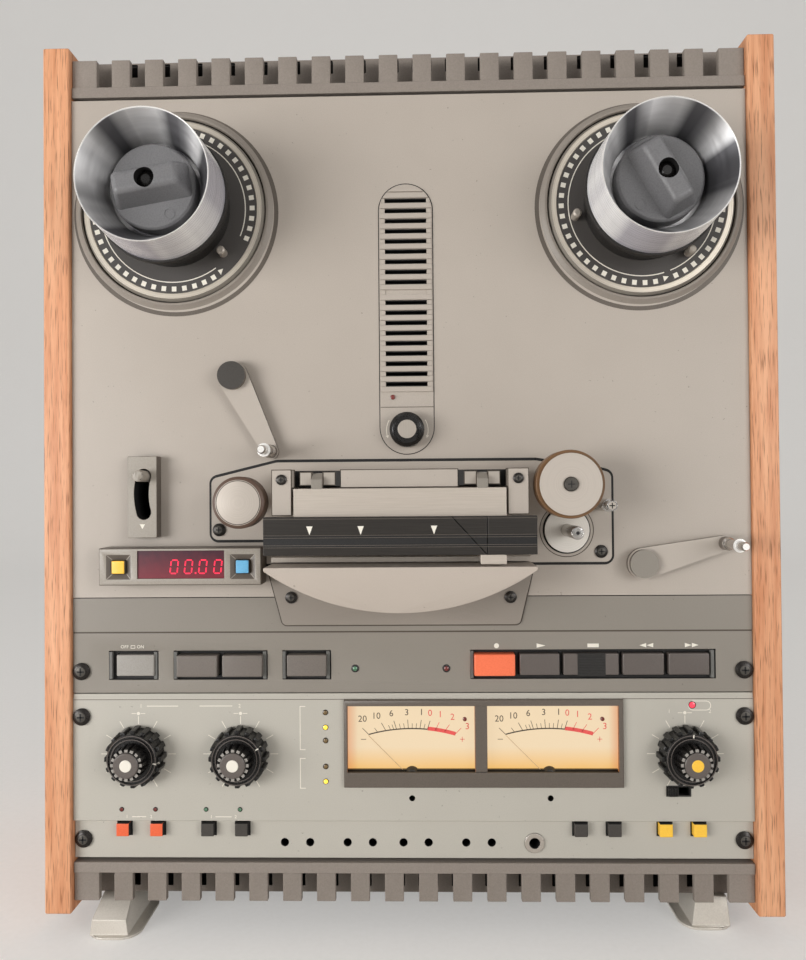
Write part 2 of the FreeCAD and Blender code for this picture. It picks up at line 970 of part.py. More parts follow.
def idler_shaft():
    z = deck_bottom + idler_z
    shaft = rod(roller_shaft_r, roller_front + 1.5, panel_back, idler_x, z)
    collar = rod(roller_shaft_r + 2, roller_back + seam, roller_back + 4 * seam, idler_x, z)
    return shaft.fuse(collar)


def head_bridge():
    """Two posts and the beam between them, with a recess at each end for the flap's hinges."""
    z0 = deck_bottom + beam_bottom
    z1 = deck_bottom + beam_top
    beam = block(left_post[1], right_post[0], beam_front, base_face, z0, z1)
    for left, right in (left_recess, right_recess):
        beam = beam.cut(block(left, right, beam_front, recess_back, z0, z1))
    pieces = []
    for left, right in (left_post, right_post):
        pieces.append(
            block(left, right, post_front, base_face, deck_bottom + post_bottom, deck_bottom + post_top)
        )
    z = hinge_height
    for left, right in (left_recess, right_recess):
        middle = (left + right) / 2
        for start in (middle - ear_width / 2 - gap - lug_width, middle + ear_width / 2 + gap):
            lug = block(start, start + lug_width, beam_front, recess_back, z - 3.4, z + 3.4)
            pieces.append(lug.cut(bar(hinge_pin_r + fit, start, start + lug_width, hinge_y, z)))
    return beam.fuse(pieces).removeSplitter().cut(shank_holes(post_front, base_face))


def shelf():
    """The light strip that shows below the splicing block."""
    left = head_x - splice_half
    right = head_x + splice_half
    z = deck_bottom + shelf_bottom
    return block(left, right, shelf_front, base_face, z, z + shelf_thick)


def head_flap():
    """The swinging gate in front of the heads, with its ears and hinge pins."""
    back = flap_front + flap_thick
    body = block(
        head_x - flap_half,
        head_x + flap_half,
        flap_front,
        back,
        deck_bottom + flap_bottom,
        deck_bottom + flap_top,
    )
    tab = block(
        tab_left,
        tab_left + tab_width,
        splice_front + 1,
        back,
        deck_bottom + tab_bottom,
        deck_bottom + splice_bottom,
    )
    strap = block(
        tab_left,
        tab_left + tab_width,
        flap_front,
        back,
        deck_bottom + splice_bottom,
        deck_bottom + flap_bottom,
    )
    pieces = [tab, strap]
    z = hinge_height
    top = deck_bottom + flap_top
    for left, right in (left_recess, right_recess):
        x0 = (left + right - ear_width) / 2
        link = [
            (flap_front, top - 4),
            (flap_front, z - 0.5),
            (hinge_y - 1.5, z + 2.9),
            (hinge_y, z),
            (hinge_y + 1.5, z - 2.9),
            (back, top - 0.5),
            (back, top - 4),
        ]
        pieces.append(rib(link, x0, x0 + ear_width))
        x1 = x0 + ear_width
        pieces.append(bar(hinge_knuckle_r, x0, x1, hinge_y, z))
        pieces.append(bar(hinge_pin_r, x0 - lug_width, x1 + lug_width, hinge_y, z))
    return body.fuse(pieces).removeSplitter()


def splice_block():
    """Black block on the flap with a shallow tape channel and two guide cuts for a blade."""
    left = head_x - splice_half
    right = head_x + splice_half
    z0 = deck_bottom + splice_bottom
    z1 = deck_bottom + splice_top
    body = block(left, right, splice_front, flap_front, z0, z1)
    channel_z = deck_bottom + splice_groove_z - tape_width / 2
    channel_back = splice_front + splice_groove_depth
    channel = block(left, right, splice_front, channel_back, channel_z, channel_z + tape_width)
    x = head_x + cut_x
    straight = block(x - cut_width / 2, x + cut_width / 2, splice_front, splice_front + cut_depth, z0, z1)
    slanted = slab(
        [
            (x - cut_width, z0),
            (x, z0),
            (x - cut_run, z1),
            (x - cut_run - cut_width, z1),
        ],
        splice_front,
        splice_front + cut_depth,
    )
    return body.cut([channel, straight, slanted])


def tape_head(offset):
    x = head_x + offset
    z0 = deck_bottom + head_bottom
    half = head_width / 2
    front = tape_y - tape_width / 2 + seam
    body = block(x - half, x + half, front, front + head_height, z0, z0 + head_height)
    rounded = [e for e in body.Edges if e.BoundBox.ZMax < z0 + 1 and e.BoundBox.YLength > head_height / 2]
    body = body.makeFillet(head_round, rounded)
    half = neck_width / 2
    z1 = z0 + head_height
    neck = block(x - half, x + half, front + head_height, base_face, z0 + head_round, z1)
    return body.fuse(neck)


def tape_guide(x, z, radius, tip):
    """A flanged pin that keeps the tape at its height."""
    low = tape_y + tape_width / 2
    high = tape_y - tape_width / 2
    profile = [
        (0, base_face),
        (radius + 1, base_face),
        (radius + 1, low + 1),
        (radius + 1, low),
        (radius, low),
        (radius, high),
        (radius + seam, high),
        (radius + seam, tip),
        (0, tip),
    ]
    return turned(profile, x, z)


def lower_head_cover():
    """Bowed cover below the tape slot, on an apron that is screwed to the deck."""
    left = head_x - splice_half
    right = head_x + splice_half
    top = deck_bottom + cover_top

    def bow(inset, y0, y1):
        a = Vector(left + inset * 2, y0, top - inset)
        b = Vector(right - inset * 2, y0, top - inset)
        low = Vector(head_x, y0, top - cover_arc_drop - cover_wall + inset)
        drop = Vector(0, 0, -cover_wall + inset / 2)
        edges = [
            Part.LineSegment(b, a).toShape(),
            Part.LineSegment(a, a + drop).toShape(),
            Part.Arc(a + drop, low, b + drop).toShape(),
            Part.LineSegment(b + drop, b).toShape(),
        ]
        return outward(Part.Face(Part.Wire(edges)).extrude(Vector(0, y1 - y0, 0)))

    apron_back = panel_face
    apron_front = apron_back - apron_thick
    apron = plate(
        [
            (apron_top_left, deck_bottom + apron_top, 0.5),
            (apron_bottom_left, deck_bottom + apron_bottom, 3.0),
            (apron_bottom_right, deck_bottom + apron_bottom, 3.0),
            (apron_top_right, deck_bottom + apron_top, 0.5),
        ],
        apron_front,
        apron_back,
    )
    shell = bow(0.0, cover_front, apron_back).cut(bow(cover_wall, cover_front + cover_wall, apron_front))
    shell = shell.cut(block(left, right, base_face, apron_back, deck_bottom + apron_top, top))
    return shell.fuse(apron).removeSplitter().cut(shank_holes(apron_front, apron_back))


# Reels
def turntable(x, turn):
    """Turntable with its drive pins at a clock angle, the spindle in front and the shaft behind."""
    back = turntable_face + turntable_thick
    disc = turned(
        [
            (0, turntable_face),
            (turntable_r - seam, turntable_face),
            (turntable_r, turntable_face + seam),
            (turntable_r, back),
            (shaft_r, back),
            (shaft_r, shaft_end),
            (0, shaft_end),
        ],
        x,
        reel_z,
    )
    spindle = turned(
        [
            (0, turntable_face),
            (spindle_r, turntable_face),
            (spindle_r, spindle_tip + 2),
            (spindle_r / 2, spindle_tip),
            (0, spindle_tip),
        ],
        x,
        reel_z,
    )
    pins = []
    for i in range(3):
        angle = math.radians(90 - turn + 120 * i)
        pin_x0 = x + drive_pin_orbit * math.cos(angle)
        pin_z0 = reel_z + drive_pin_orbit * math.sin(angle)
        pins.append(rod(drive_pin_r, turntable_face - drive_pin_height, turntable_face, pin_x0, pin_z0))
    return disc.fuse([spindle] + pins).removeSplitter()


def hub_body(x):
    """Adapter that fills the large bore of a reel, hollowed out in front round its lock knob."""
    bore = spindle_r + fit
    profile = [
        (bore, hub_floor),
        (hub_well_r, hub_floor),
        (hub_well_r, hub_well_top),
        (hub_rim_r - hub_rim_wall, hub_front),
        (hub_rim_r, hub_front),
        (hub_seat_r, hub_seat_y - hub_straight),
        (hub_seat_r, hub_seat_y),
        (hub_rubber_r, hub_seat_y),
        (hub_rubber_r, hub_rubber_y),
        (hub_foot_r, hub_rubber_y),
        (hub_foot_r, turntable_face),
        (bore, turntable_face),
    ]
    return turned(profile, x, reel_z)


def hub_knob(x, lean):
    """Lock knob of the adapter: a disc with a grip rib and a hole that the spindle shows through."""
    back = hub_floor - seam
    disc = turned(
        [
            (0, back),
            (knob_r, back),
            (knob_r, knob_face + seam),
            (knob_r - seam, knob_face),
            (0, knob_face),
        ],
        x,
        reel_z,
    )
    rings = []
    half_length = knob_rib_length / 2
    for half, reach, y in (
        (knob_rib_foot / 2, half_length, knob_face),
        (knob_rib_width / 2, half_length - 3, knob_rib_top),
    ):
        corners = [Vector(x - reach, y, reel_z - half), Vector(x + reach, y, reel_z - half)]
        corners += [Vector(x + reach, y, reel_z + half), Vector(x - reach, y, reel_z + half)]
        rings.append(Part.makePolygon(corners + corners[:1]))
    grip = outward(Part.makeLoft(rings, True, True))
    hole = rod(knob_hole_r, knob_rib_top, back, x, reel_z)
    return turn(disc.fuse(grip).cut(hole), x, reel_z, -lean)


# Tape path pieces that move
def tension_arm(pivot, stud):
    """Sprung arm: a tapered bar with a cap over its pivot and a stud that the tape runs on."""
    px, pz = pivot[0], deck_bottom + pivot[1]
    sx, sz = stud[0], deck_bottom + stud[1]
    bar = capsule((px, pz), (sx, sz), arm_root_r, arm_tip_r, arm_front, arm_back)
    cap = rod(arm_cap_r, arm_cap_front, arm_front, px, pz)
    shaft = rod(arm_shaft_r, arm_back, arm_shaft_end, px, pz)
    collar = rod(arm_collar_r, chassis_back + gap, chassis_back + 3, px, pz)
    waist = tape_y + tape_width / 2 + 1
    pin = turned(
        [
            (0, arm_front),
            (4.0, arm_front),
            (4.0, arm_front - 5),
            (2.6, arm_front - 7),
            (2.6, waist + 1),
            (3.9, waist),
            (3.9, waist - 1),
            (2.5, waist - 1.5),
            (2.5, stud_tip + 1.2),
            (1.9, stud_tip),
            (0, stud_tip),
        ],
        sx,
        sz,
    )
    return bar.fuse([cap, shaft, collar, pin]).removeSplitter()


def idler_roller():
    z = deck_bottom + idler_z
    front = roller_front - 1
    bore = roller_shaft_r + fit
    return turned(
        [
            (0, front),
            (idler_cap_r, front),
            (idler_r, roller_front),
            (idler_r, roller_back),
            (bore, roller_back),
            (bore, roller_front + 1),
            (0, roller_front + 1),
        ],
        idler_x,
        z,
    )


def pinch_arm():
    """Arm behind the chassis that carries the pinch roller's shaft through its slot."""
    z = deck_bottom + pinch_z
    back = swing_arm_y + pinch_arm_thick
    bar = capsule((pinch_x, z), pinch_pivot, pinch_arm_r, pinch_arm_r, swing_arm_y, back)
    bar = bar.cut(rod(pinch_pin_r + fit, swing_arm_y, back, *pinch_pivot))
    shaft = rod(roller_shaft_r, roller_front - 1.5, swing_arm_y, pinch_x, z)
    collar = rod(roller_shaft_r + 2, roller_back + gap, roller_back + 3, pinch_x, z)
    screw = rod(roller_shaft_r - gap, roller_front - 3, roller_front - 1.5, pinch_x, z)
    return bar.fuse([shaft, collar, screw]).removeSplitter()


def pinch_roller():
    z = deck_bottom + pinch_z
    front = roller_front - 1.5
    bore = roller_shaft_r + fit
    return turned(
        [
            (bore, front),
            (pinch_cap_r, front),
            (pinch_cap_r, roller_front),
            (pinch_r, roller_front),
            (pinch_r, roller_back),
            (bore, roller_back),
        ],
        pinch_x,
        z,
    )


def capstan():
    """Ground shaft that drives the tape, with its flywheel behind the chassis."""
    z = deck_bottom + capstan_z
    flywheel_back = flywheel_front + flywheel_thick
    return turned(
        [
            (0, capstan_tip),
            (capstan_r - seam, capstan_tip),
            (capstan_r, capstan_tip + seam),
            (capstan_r, flywheel_front),
            (flywheel_r, flywheel_front),
            (flywheel_r, flywheel_back),
            (capstan_r, flywheel_back),
            (capstan_r, capstan_end),
            (0, capstan_end),
        ],
        capstan_x,
        z,
    )


def cue_lever():
    """Lever behind the chassis whose peg comes out through the curved slot; it rests at the top."""
    z = deck_bottom + cue_slot_z
    back = swing_arm_y + cue_arm_thick
    peg_z = z
    peg_x = cue_pivot_x - cue_radius
    bar = capsule((cue_pivot_x, z), (peg_x, peg_z), 8.0, 5.0, swing_arm_y, back)
    bar = bar.cut(rod(pinch_pin_r + fit, swing_arm_y, back, cue_pivot_x, z))
    peg = turned(
        [
            (0, cue_knob_front),
            (cue_knob_r - seam, cue_knob_front),
            (cue_knob_r, cue_knob_front + seam),
            (cue_knob_r, swing_arm_y),
            (0, swing_arm_y),
        ],
        peg_x,
        peg_z,
    )
    return turn(bar.fuse(peg), cue_pivot_x, z, cue_half_angle)


def pitch_knob():
    z = deck_bottom + pitch_knob_z
    back = panel_face - 2 * gap
    return turned(
        [
            (0, pitch_knob_front),
            (pitch_knob_r - 2, pitch_knob_front),
            (pitch_knob_r, pitch_knob_front + 2),
            (pitch_knob_r, back),
            (pitch_shaft_r, back),
            (pitch_shaft_r, arm_shaft_end),
            (0, arm_shaft_end),
        ],
        pitch_x,
        z,
    )


# Controls of the amplifier panel
def outer_dial(x):
    z = amp_bottom + dial_z
    back = panel_face - 2 * gap
    return turned(
        [
            (inner_shaft_r + fit, dial_front),
            (dial_shoulder_r, dial_front),
            (dial_shoulder_r, dial_shoulder_y),
            (dial_r, dial_shoulder_y),
            (dial_r, back),
            (dial_tube_r, back),
            (dial_tube_r, chassis_back + 3),
            (inner_shaft_r + fit, chassis_back + 3),
        ],
        x,
        z,
    )


def inner_dial(x):
    z = amp_bottom + dial_z
    return turned(
        [
            (0, inner_dial_front),
            (inner_dial_face_r, inner_dial_front),
            (inner_dial_r, inner_dial_front + 1),
            (inner_dial_r, dial_front - gap),
            (inner_shaft_r, dial_front - gap),
            (inner_shaft_r, arm_shaft_end),
            (0, arm_shaft_end),
        ],
        x,
        z,
    )


def small_cap(x):
    z = amp_bottom + small_button_z
    half = small_button / 2
    front = lower_face - small_button_out
    back = panel_back + stem
    cap = soft_block(x - half, x + half, front, back, z - half, z + half, seam)
    end = board_y - button_switch_depth - key_travel - seam
    return cap.fuse(block(x - stem, x + stem, back - 1, end, z - stem, z + stem))


def counter_cap(x):
    z = deck_bottom + counter_button_z
    half = counter_button / 2
    return soft_block(
        x - half, x + half, counter_button_front, panel_face - 2 * stem, z - half, z + half, seam
    )


def slide_switch():
    """Slider in its slot, with a wider shoe behind the panel; it rests at the left end."""
    z0 = amp_bottom + slider_bottom
    z1 = amp_bottom + slider_top
    left = slider_left + gap
    thumb = soft_block(left, left + slider_width, slider_front, panel_back + 1, z0 + gap, z1 - gap, gap)
    shoe = block(left, left + slider_width, panel_back + gap, panel_back + stem, z0 - 1, z1 + 1)
    return thumb.fuse(shoe)


def needle(x):
    """Meter pointer on its axle, resting at the left end of the scale."""
    z = amp_bottom + needle_z
    back = needle_y + needle_thick
    pointer = slab(
        [
            (x - needle_width, z),
            (x + needle_width, z),
            (x + needle_width / 3, z + needle_reach),
            (x - needle_width / 3, z + needle_reach),
        ],
        needle_y,
        back,
    )
    hub = rod(needle_hub_r, needle_y - gap, back, x, z)
    axle = rod(needle_axle_r, back, scale_y + scale_thick + 2, x, z)
    return turn(pointer.fuse([hub, axle]), x, z, -needle_lean)


def meter_box(inset, y0, y1):
    """A block of the bezel's outline drawn in by inset on all four sides."""
    return block(
        meter_left + inset,
        meter_right - inset,
        y0,
        y1,
        amp_bottom + meter_bottom + inset,
        amp_bottom + meter_top - inset,
    )


def meter_housing():
    """Bezel and box round the two meters."""
    bezel = meter_box(0, meter_front, panel_face)
    front_edges = [e for e in bezel.Edges if e.BoundBox.YMax < meter_front + gap]
    bezel = bezel.makeChamfer(seam, front_edges)
    box = meter_box(meter_lip, panel_face, meter_back)
    inside = meter_box(meter_lip + meter_wall, panel_face, meter_back - meter_wall)
    z0 = amp_bottom + window_bottom
    z1 = amp_bottom + window_top
    window = block(window_left, window_right, meter_front, panel_face, z0, z1)
    divider = block(divider_left, divider_right, meter_front + 1, scale_y, z0, z1)
    return bezel.fuse(box).removeSplitter().cut([inside, window]).fuse(divider).removeSplitter()


def scale_plate():
    """The plate behind both needles, with a bearing hole for each."""
    body = meter_box(meter_lip + meter_wall, scale_y, scale_y + scale_thick)
    holes = []
    for x in needle_x:
        holes.append(rod(needle_axle_r + fit, scale_y, scale_y + scale_thick, x, amp_bottom + needle_z))
    return body.cut(holes)


# Fasteners, feet, sockets and what the case holds
def screw(x, z, radius, face, end):
    """Cross-head machine screw seated on a face, with its shank running back to end."""
    top = face - head_dome * radius
    rise = top + 0.45 * (face - top)
    shank = shank_share * radius
    profile = [
        (0, top),
        (0.62 * radius, top),
        (radius, rise),
        (radius, face),
        (shank, face),
        (shank, end),
        (0, end),
    ]
    body = turned(profile, x, z)
    slot = 0.14 * radius
    arm = 0.5 * radius
    depth = 0.4 * (face - top)
    across = block(x - arm, x + arm, top, top + depth, z - slot, z + slot)
    upright = block(x - slot, x + slot, top, top + depth, z - arm, z + arm)
    return body.cut([across, upright])


def screw_places():
    """Each screw as x, z, head radius, the face it sits on and where its shank ends."""
    places = []
    for side in (-1, 1):
        x = side * (case_half - rack_screw_inset)
        places.append((x, strip_bottom + strip_screw_z, rack_screw_r, panel_face, chassis_back))
        places.append((x, amp_bottom + amp_screw_z[0], rack_screw_r, lower_face, chassis_back))
        places.append((x, amp_bottom + amp_screw_z[1], rack_screw_r, panel_face, chassis_back))
    for x, z in base_screws:
        places.append((x, deck_bottom + z, base_screw_r, base_face, chassis_back))
    for left, right in (left_post, right_post):
        z = deck_bottom + post_top - post_screw_drop
        places.append(((left + right) / 2, z, post_screw_r, post_front, post_front + post_screw_depth))
    for x, z in apron_screws:
        places.append((x, deck_bottom + z, apron_screw_r, panel_face - apron_thick, chassis_back))
    return places


def shank_holes(y0, y1):
    """The holes that the screws need in whatever lies between two depths."""
    holes = []
    for x, z, radius, face, end in screw_places():
        if face < y1 and end > y0:
            holes.append(rod(shank_share * radius + fit, max(face, y0), min(end, y1), x, z))
    return holes


def foot(x, profile, y0, y1):
    """Cast foot: a tapered stem of the given (y, z) profile on a thin rounded base."""
    half = foot_width / 2
    top = half - foot_taper * sheet_bottom
    stem_front = [(x - half, 0), (x + half, 0), (x + top, sheet_bottom), (x - top, sheet_bottom)]
    body = rib(profile, x - half, x + half).common(slab(stem_front, y0, y1))
    middle = x - math.copysign(foot_base_offset, x)
    half = foot_base_width / 2
    pad = block(middle - half, middle + half, y0, y1, 0, foot_base_thick)
    uprights = [e for e in pad.Edges if e.BoundBox.ZLength > foot_base_thick / 2]
    pad = pad.makeFillet(foot_base_round, uprights)
    return body.fuse(pad).removeSplitter()


def feet():
    top = sheet_bottom
    toe_back = toe_y + foot_length
    heel_back = heel_y + foot_length
    low = foot_base_thick / 2
    toe = [
        (toe_y, low),
        (toe_y, toe_height),
        (grille_depth, top),
        (toe_back, top),
        (toe_back, low),
    ]
    heel = [
        (heel_y, low),
        (heel_y, top),
        (heel_back - foot_slope, top),
        (heel_back, toe_height),
        (heel_back, low),
    ]
    rear_front = rear_toe_y - foot_length
    rear = [
        (rear_front, low),
        (rear_front, top),
        (rear_toe_y - foot_slope, top),
        (rear_toe_y, toe_height),
        (rear_toe_y, low),
    ]
    margin = foot_base_margin
    return [
        foot(-foot_x, toe, toe_y - margin, toe_back + margin),
        foot(foot_x, heel, heel_y - margin, heel_back + margin),
        foot(-foot_x, rear, rear_front - margin, rear_toe_y + margin),
        foot(foot_x, rear, rear_front - margin, rear_toe_y + margin),
    ]


def sockets():
    """Headphone jack in front; four phono sockets and the mains inlet at the back."""
    z = amp_bottom + trim_z
    jack = turned(
        [
            (phones_r, lower_face),
            (phones_barrel_r, lower_face),
            (phones_barrel_r, board_y - seam),
            (phones_r, board_y - seam),
        ],
        phones_x,
        z,
    )
    nut = turned(
        [
            (phones_r, lower_face),
            (phones_r, lower_face - phones_ring_out),
            (phones_ring_r - seam, lower_face - phones_ring_out),
            (phones_ring_r, lower_face - phones_ring_out + seam),
            (phones_ring_r, lower_face),
        ],
        phones_x,
        z,
    )
    solids = [jack.fuse(nut).removeSplitter()]
    inner = case_depth - sheet
    for i in range(4):
        x = socket_x + i * socket_spacing
        flange = case_depth + socket_flange
        barrel = turned(
            [
                (socket_hole_r, back_most),
                (socket_r, back_most),
                (socket_r, flange),
                (socket_flange_r, flange),
                (socket_flange_r, case_depth),
                (socket_r - fit, case_depth),
                (socket_r - fit, inner - 2),
                (socket_hole_r, inner - 2),
            ],
            x,
            socket_z,
        )
        solids.append(barrel)
    half_width = inlet_width / 2
    half_height = inlet_height / 2
    shell = block(
        inlet_x - half_width,
        inlet_x + half_width,
        case_depth - inlet_depth,
        case_depth,
        inlet_z - half_height,
        inlet_z + half_height,
    )
    recess = block(
        inlet_x - half_width + 1.5,
        inlet_x + half_width - 1.5,
        case_depth - inlet_depth + 2,
        case_depth,
        inlet_z - half_height + 1.5,
        inlet_z + half_height - 1.5,
    )
    blades = []
    for dx, dz in ((-7, -2), (0, 2), (7, -2)):
        x = inlet_x + dx
        z = inlet_z + dz
        blades.append(block(x - 1, x + 1, case_depth - inlet_depth + 2, case_depth - 6, z - 2, z + 2))
    solids.append(shell.cut(recess).fuse(blades).removeSplitter())
    return solids


def motors():
    """Two reel motors and the capstan motor, each bored for its shaft."""
    solids = []
    for x in (-reel_spread, reel_spread):
        end = chassis_back + reel_motor_length
        body = rod(reel_motor_r, chassis_back, end, x, reel_z)
        solids.append(body.cut(rod(shaft_r + fit, chassis_back, shaft_end + 1, x, reel_z)))
    z = deck_bottom + capstan_z
    front = flywheel_front + flywheel_thick + 1
    body = rod(capstan_motor_r, front, front + capstan_motor_length, capstan_x, z)
    body = body.cut(rod(capstan_r + fit, front, capstan_end + 1, capstan_x, z))
    legs = []
    low = z - flywheel_r - 1.5 * motor_leg
    half = motor_leg / 2
    foot_back = front + half
    for side in (-1, 1):
        x = capstan_x + side * (capstan_motor_r - motor_leg)
        legs.append(block(x - half, x + half, chassis_back, foot_back, low, low + motor_leg))
        legs.append(block(x - half, x + half, front, foot_back, low, z))
    solids.append(body.fuse(legs).removeSplitter())
    return solids


def electronics():
    """The control board with its switches and potentiometers, and the mains transformer."""
    edge = case_half - 2 * sheet
    board = block(-edge, edge, board_y, board_y + board_thick, amp_bottom + 2, strip_top - 2)
    parts = []
    for left, width, front in all_keys().values():
        x = left + width / 2
        z = strip_bottom + (key_bottom + key_top) / 2
        half = switch_width / 2
        parts.append(block(x - half, x + half, board_y - switch_depth, board_y, z - half, z + half))
    for x in dial_x:
        parts.append(rod(pot_r, arm_shaft_end + gap, board_y, x, amp_bottom + dial_z))
    z = amp_bottom + small_button_z
    front = board_y - button_switch_depth
    for x in small_button_x:
        parts.append(block(x - stem, x + stem, front, board_y, z - stem, z + stem))
    board = board.fuse(parts).removeSplitter()
    width, depth, height = transformer
    floor = sheet_bottom + sheet
    back = transformer_y + depth
    core = block(-width / 2, width / 2, transformer_y, back, floor, floor + height)
    winding = block(
        -width / 4,
        width / 4,
        transformer_y - winding_out,
        back + winding_out,
        floor + winding_out,
        floor + height - winding_out,
    )
    return [board, core.fuse(winding).removeSplitter()]


def main():
    os.makedirs("parts", exist_ok=True)
    save("side_panels", side_panel(-1), side_panel(1))
    save("vent_grilles", grille(floor_drop, grille_hole_inset), top_grille())
    save("rear_cover", rear_cover())
    save("chassis_frame", chassis_frame())
    save("deck_plate", deck_plate(), band_plate())
    save("transport_panel", transport_panel())
    save("amplifier_panel", amplifier_panel())
    save("deck_trim_plates", pitch_plate(), cue_plate(), counter_housing(), display_glass())
    save("head_base_plate", head_base_plate(), idler_shaft(), head_bridge(), shelf())
    heads = [tape_head(offset) for offset in head_offsets]
    guides = [
        tape_guide(head_x + offset, deck_bottom + guide_z, guide_r, flap_front + flap_thick + 1)
        for offset in guide_offsets
    ]
    save("tape_heads", *heads, *guides, tape_guide(pin_x, deck_bottom + pin_z, pin_r, pin_tip))
    save("lower_head_cover", lower_head_cover())
    save("meter_unit", meter_housing(), scale_plate())
    save("motors", *motors())
    save("electronics", *electronics())
    save("feet", *feet())
    save("panel_screws", *[screw(*place) for place in screw_places()])
    save("sockets", *sockets())
    save("head_flap", head_flap(), splice_block())
    for name, x, lean, turn in (
        ("supply", -reel_spread, supply_knob_turn, supply_pin_turn),
        ("takeup", reel_spread, takeup_knob_turn, takeup_pin_turn),
    ):
        save(f"{name}_turntable", turntable(x, turn))
        save(f"{name}_hub", hub_body(x))
        save(f"{name}_hub_knob", hub_knob(x, lean))
    save("supply_tension_arm", tension_arm(supply_pivot, supply_stud))
    save("takeup_tension_arm", tension_arm(takeup_pivot, takeup_stud))
    save("idler_roller", idler_roller())
    save("capstan", capstan())
    save("pinch_arm", pinch_arm())
    save("pinch_roller", pinch_roller())
    save("cue_lever", cue_lever())
    save("pitch_knob", pitch_knob())
    for name, (left, width, front) in all_keys().items():
        save(name, key_cap(left, width, front))
    save("memory_button", counter_cap(memory_x))
    save("reset_button", counter_cap(reset_x))
    for number, x in enumerate(small_button_x, 1):
        save(f"small_button_{number}", small_cap(x))
    for name, x in zip(("input_1", "input_2", "output"), dial_x):
        save(f"{name}_outer_knob", outer_dial(x))
        save(f"{name}_inner_knob", inner_dial(x))
    save("slide_switch", slide_switch())
    save("left_needle", needle(needle_x[0]))
    save("right_needle", needle(needle_x[1]))


if __name__ == "__main__":
    main()
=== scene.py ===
"""Looks of the upright reel-to-reel tape recorder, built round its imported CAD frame.

Sizes are written in millimetres, as the parts are drawn: x to the right, y the depth behind
the plane of the grille teeth, z the height above the floor. The function at() turns such a
place into the frame's metres.
"""

import json
import logging
import math
from contextlib import contextmanager
from dataclasses import dataclass, replace
from enum import Enum
from functools import partial
from typing import Any, Callable, Iterator, Mapping, Optional, Sequence

import bmesh
import bpy
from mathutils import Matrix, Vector


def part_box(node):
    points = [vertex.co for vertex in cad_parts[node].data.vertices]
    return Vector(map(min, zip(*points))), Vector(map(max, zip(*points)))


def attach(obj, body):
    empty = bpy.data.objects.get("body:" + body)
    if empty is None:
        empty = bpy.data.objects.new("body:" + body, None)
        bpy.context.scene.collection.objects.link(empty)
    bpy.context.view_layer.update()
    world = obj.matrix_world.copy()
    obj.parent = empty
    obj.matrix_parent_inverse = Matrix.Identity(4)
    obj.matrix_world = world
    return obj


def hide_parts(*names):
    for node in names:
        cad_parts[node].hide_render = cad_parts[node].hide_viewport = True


log = logging.getLogger("tape_recorder")

MM = 0.001
TEETH_Y = -68.0  # depth of the grille teeth in the frame, in mm
PANEL_PRINT = -1.06  # drawn depth of a print on the transport strip and the lower panel
PLATE_PRINT = -1.36  # drawn depth of a print on the plate round the pitch knob
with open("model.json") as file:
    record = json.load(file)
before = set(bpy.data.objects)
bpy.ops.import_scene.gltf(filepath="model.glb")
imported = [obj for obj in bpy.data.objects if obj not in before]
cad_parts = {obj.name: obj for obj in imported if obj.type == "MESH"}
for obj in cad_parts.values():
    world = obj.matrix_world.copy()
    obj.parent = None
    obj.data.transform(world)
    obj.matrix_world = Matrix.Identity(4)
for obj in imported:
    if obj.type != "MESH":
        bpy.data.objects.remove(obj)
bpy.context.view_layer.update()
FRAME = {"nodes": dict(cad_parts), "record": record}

Test = Callable[[Vector, Vector], bool]


def at(x: float, y: float, z: float) -> Vector:
    """Gives the place of a drawn point in the frame, in metres."""
    return Vector((x, y + TEETH_Y, z)) * MM


def drawn(point: Vector) -> Vector:
    """Gives a frame point as it is drawn, in millimetres."""
    return Vector((point.x / MM, point.y / MM - TEETH_Y, point.z / MM))


def face_of(node: str) -> float:
    """Gives the drawn depth of a CAD node's front, in millimetres."""
    low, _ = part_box(node)
    return low[1] / MM - TEETH_Y


def around(x: float, z: float) -> Callable[[Vector], float]:
    """Gives the measure of how far a drawn place lies from an axis at x and z."""
    return lambda place: math.hypot(place.x - x, place.z - z)


def facing(low: float, high: float) -> Test:
    """Gives the test for faces between two depths that look to the front."""
    return lambda c, n: n.y < -0.9 and low < c.y < high


def linear(code: str) -> tuple[float, float, float, float]:
    """Turns an sRGB hex colour into linear light.

    Args:
        code: Six hex digits after a hash.

    Returns:
        Red, green and blue from 0 to 1, and an alpha of 1.
    """
    parts = [int(code[i : i + 2], 16) / 255 for i in (1, 3, 5)]
    light = [c / 12.92 if c <= 0.04045 else ((c + 0.055) / 1.055) ** 2.4 for c in parts]
    return (light[0], light[1], light[2], 1.0)


# ---------------------------------------------------------------- finishes


def add_node(
    tree: bpy.types.NodeTree,
    kind: str,
    settings: Optional[Mapping[Any, Any]] = None,
    links: Optional[Mapping[Any, bpy.types.NodeSocket]] = None,
) -> bpy.types.Node:
    """Adds a node with its settings and links.

    Args:
        tree: The material's or world's nodes.
        kind: Blender's name for the kind of node.
        settings: Attributes of the node, or values of its inputs by name or number.
        links: Sockets that feed its inputs, by the input's name or number.

    Returns:
        The new node.
    """
    made = tree.nodes.new(kind)
    for key, value in (settings or {}).items():
        if isinstance(key, str) and key not in made.inputs and hasattr(made, key):
            setattr(made, key, value)
        else:
            made.inputs[key].default_value = value
    for key, socket in (links or {}).items():
        tree.links.new(socket, made.inputs[key])
    return made


class Pattern(Enum):
    """How a surface was made, which decides the way its marks run."""

    SPRAYED = "sprayed"
    MOULDED = "moulded"
    BRUSHED = "brushed along x"
    DRAWN = "drawn along z"
    TURNED = "turned about an axis"


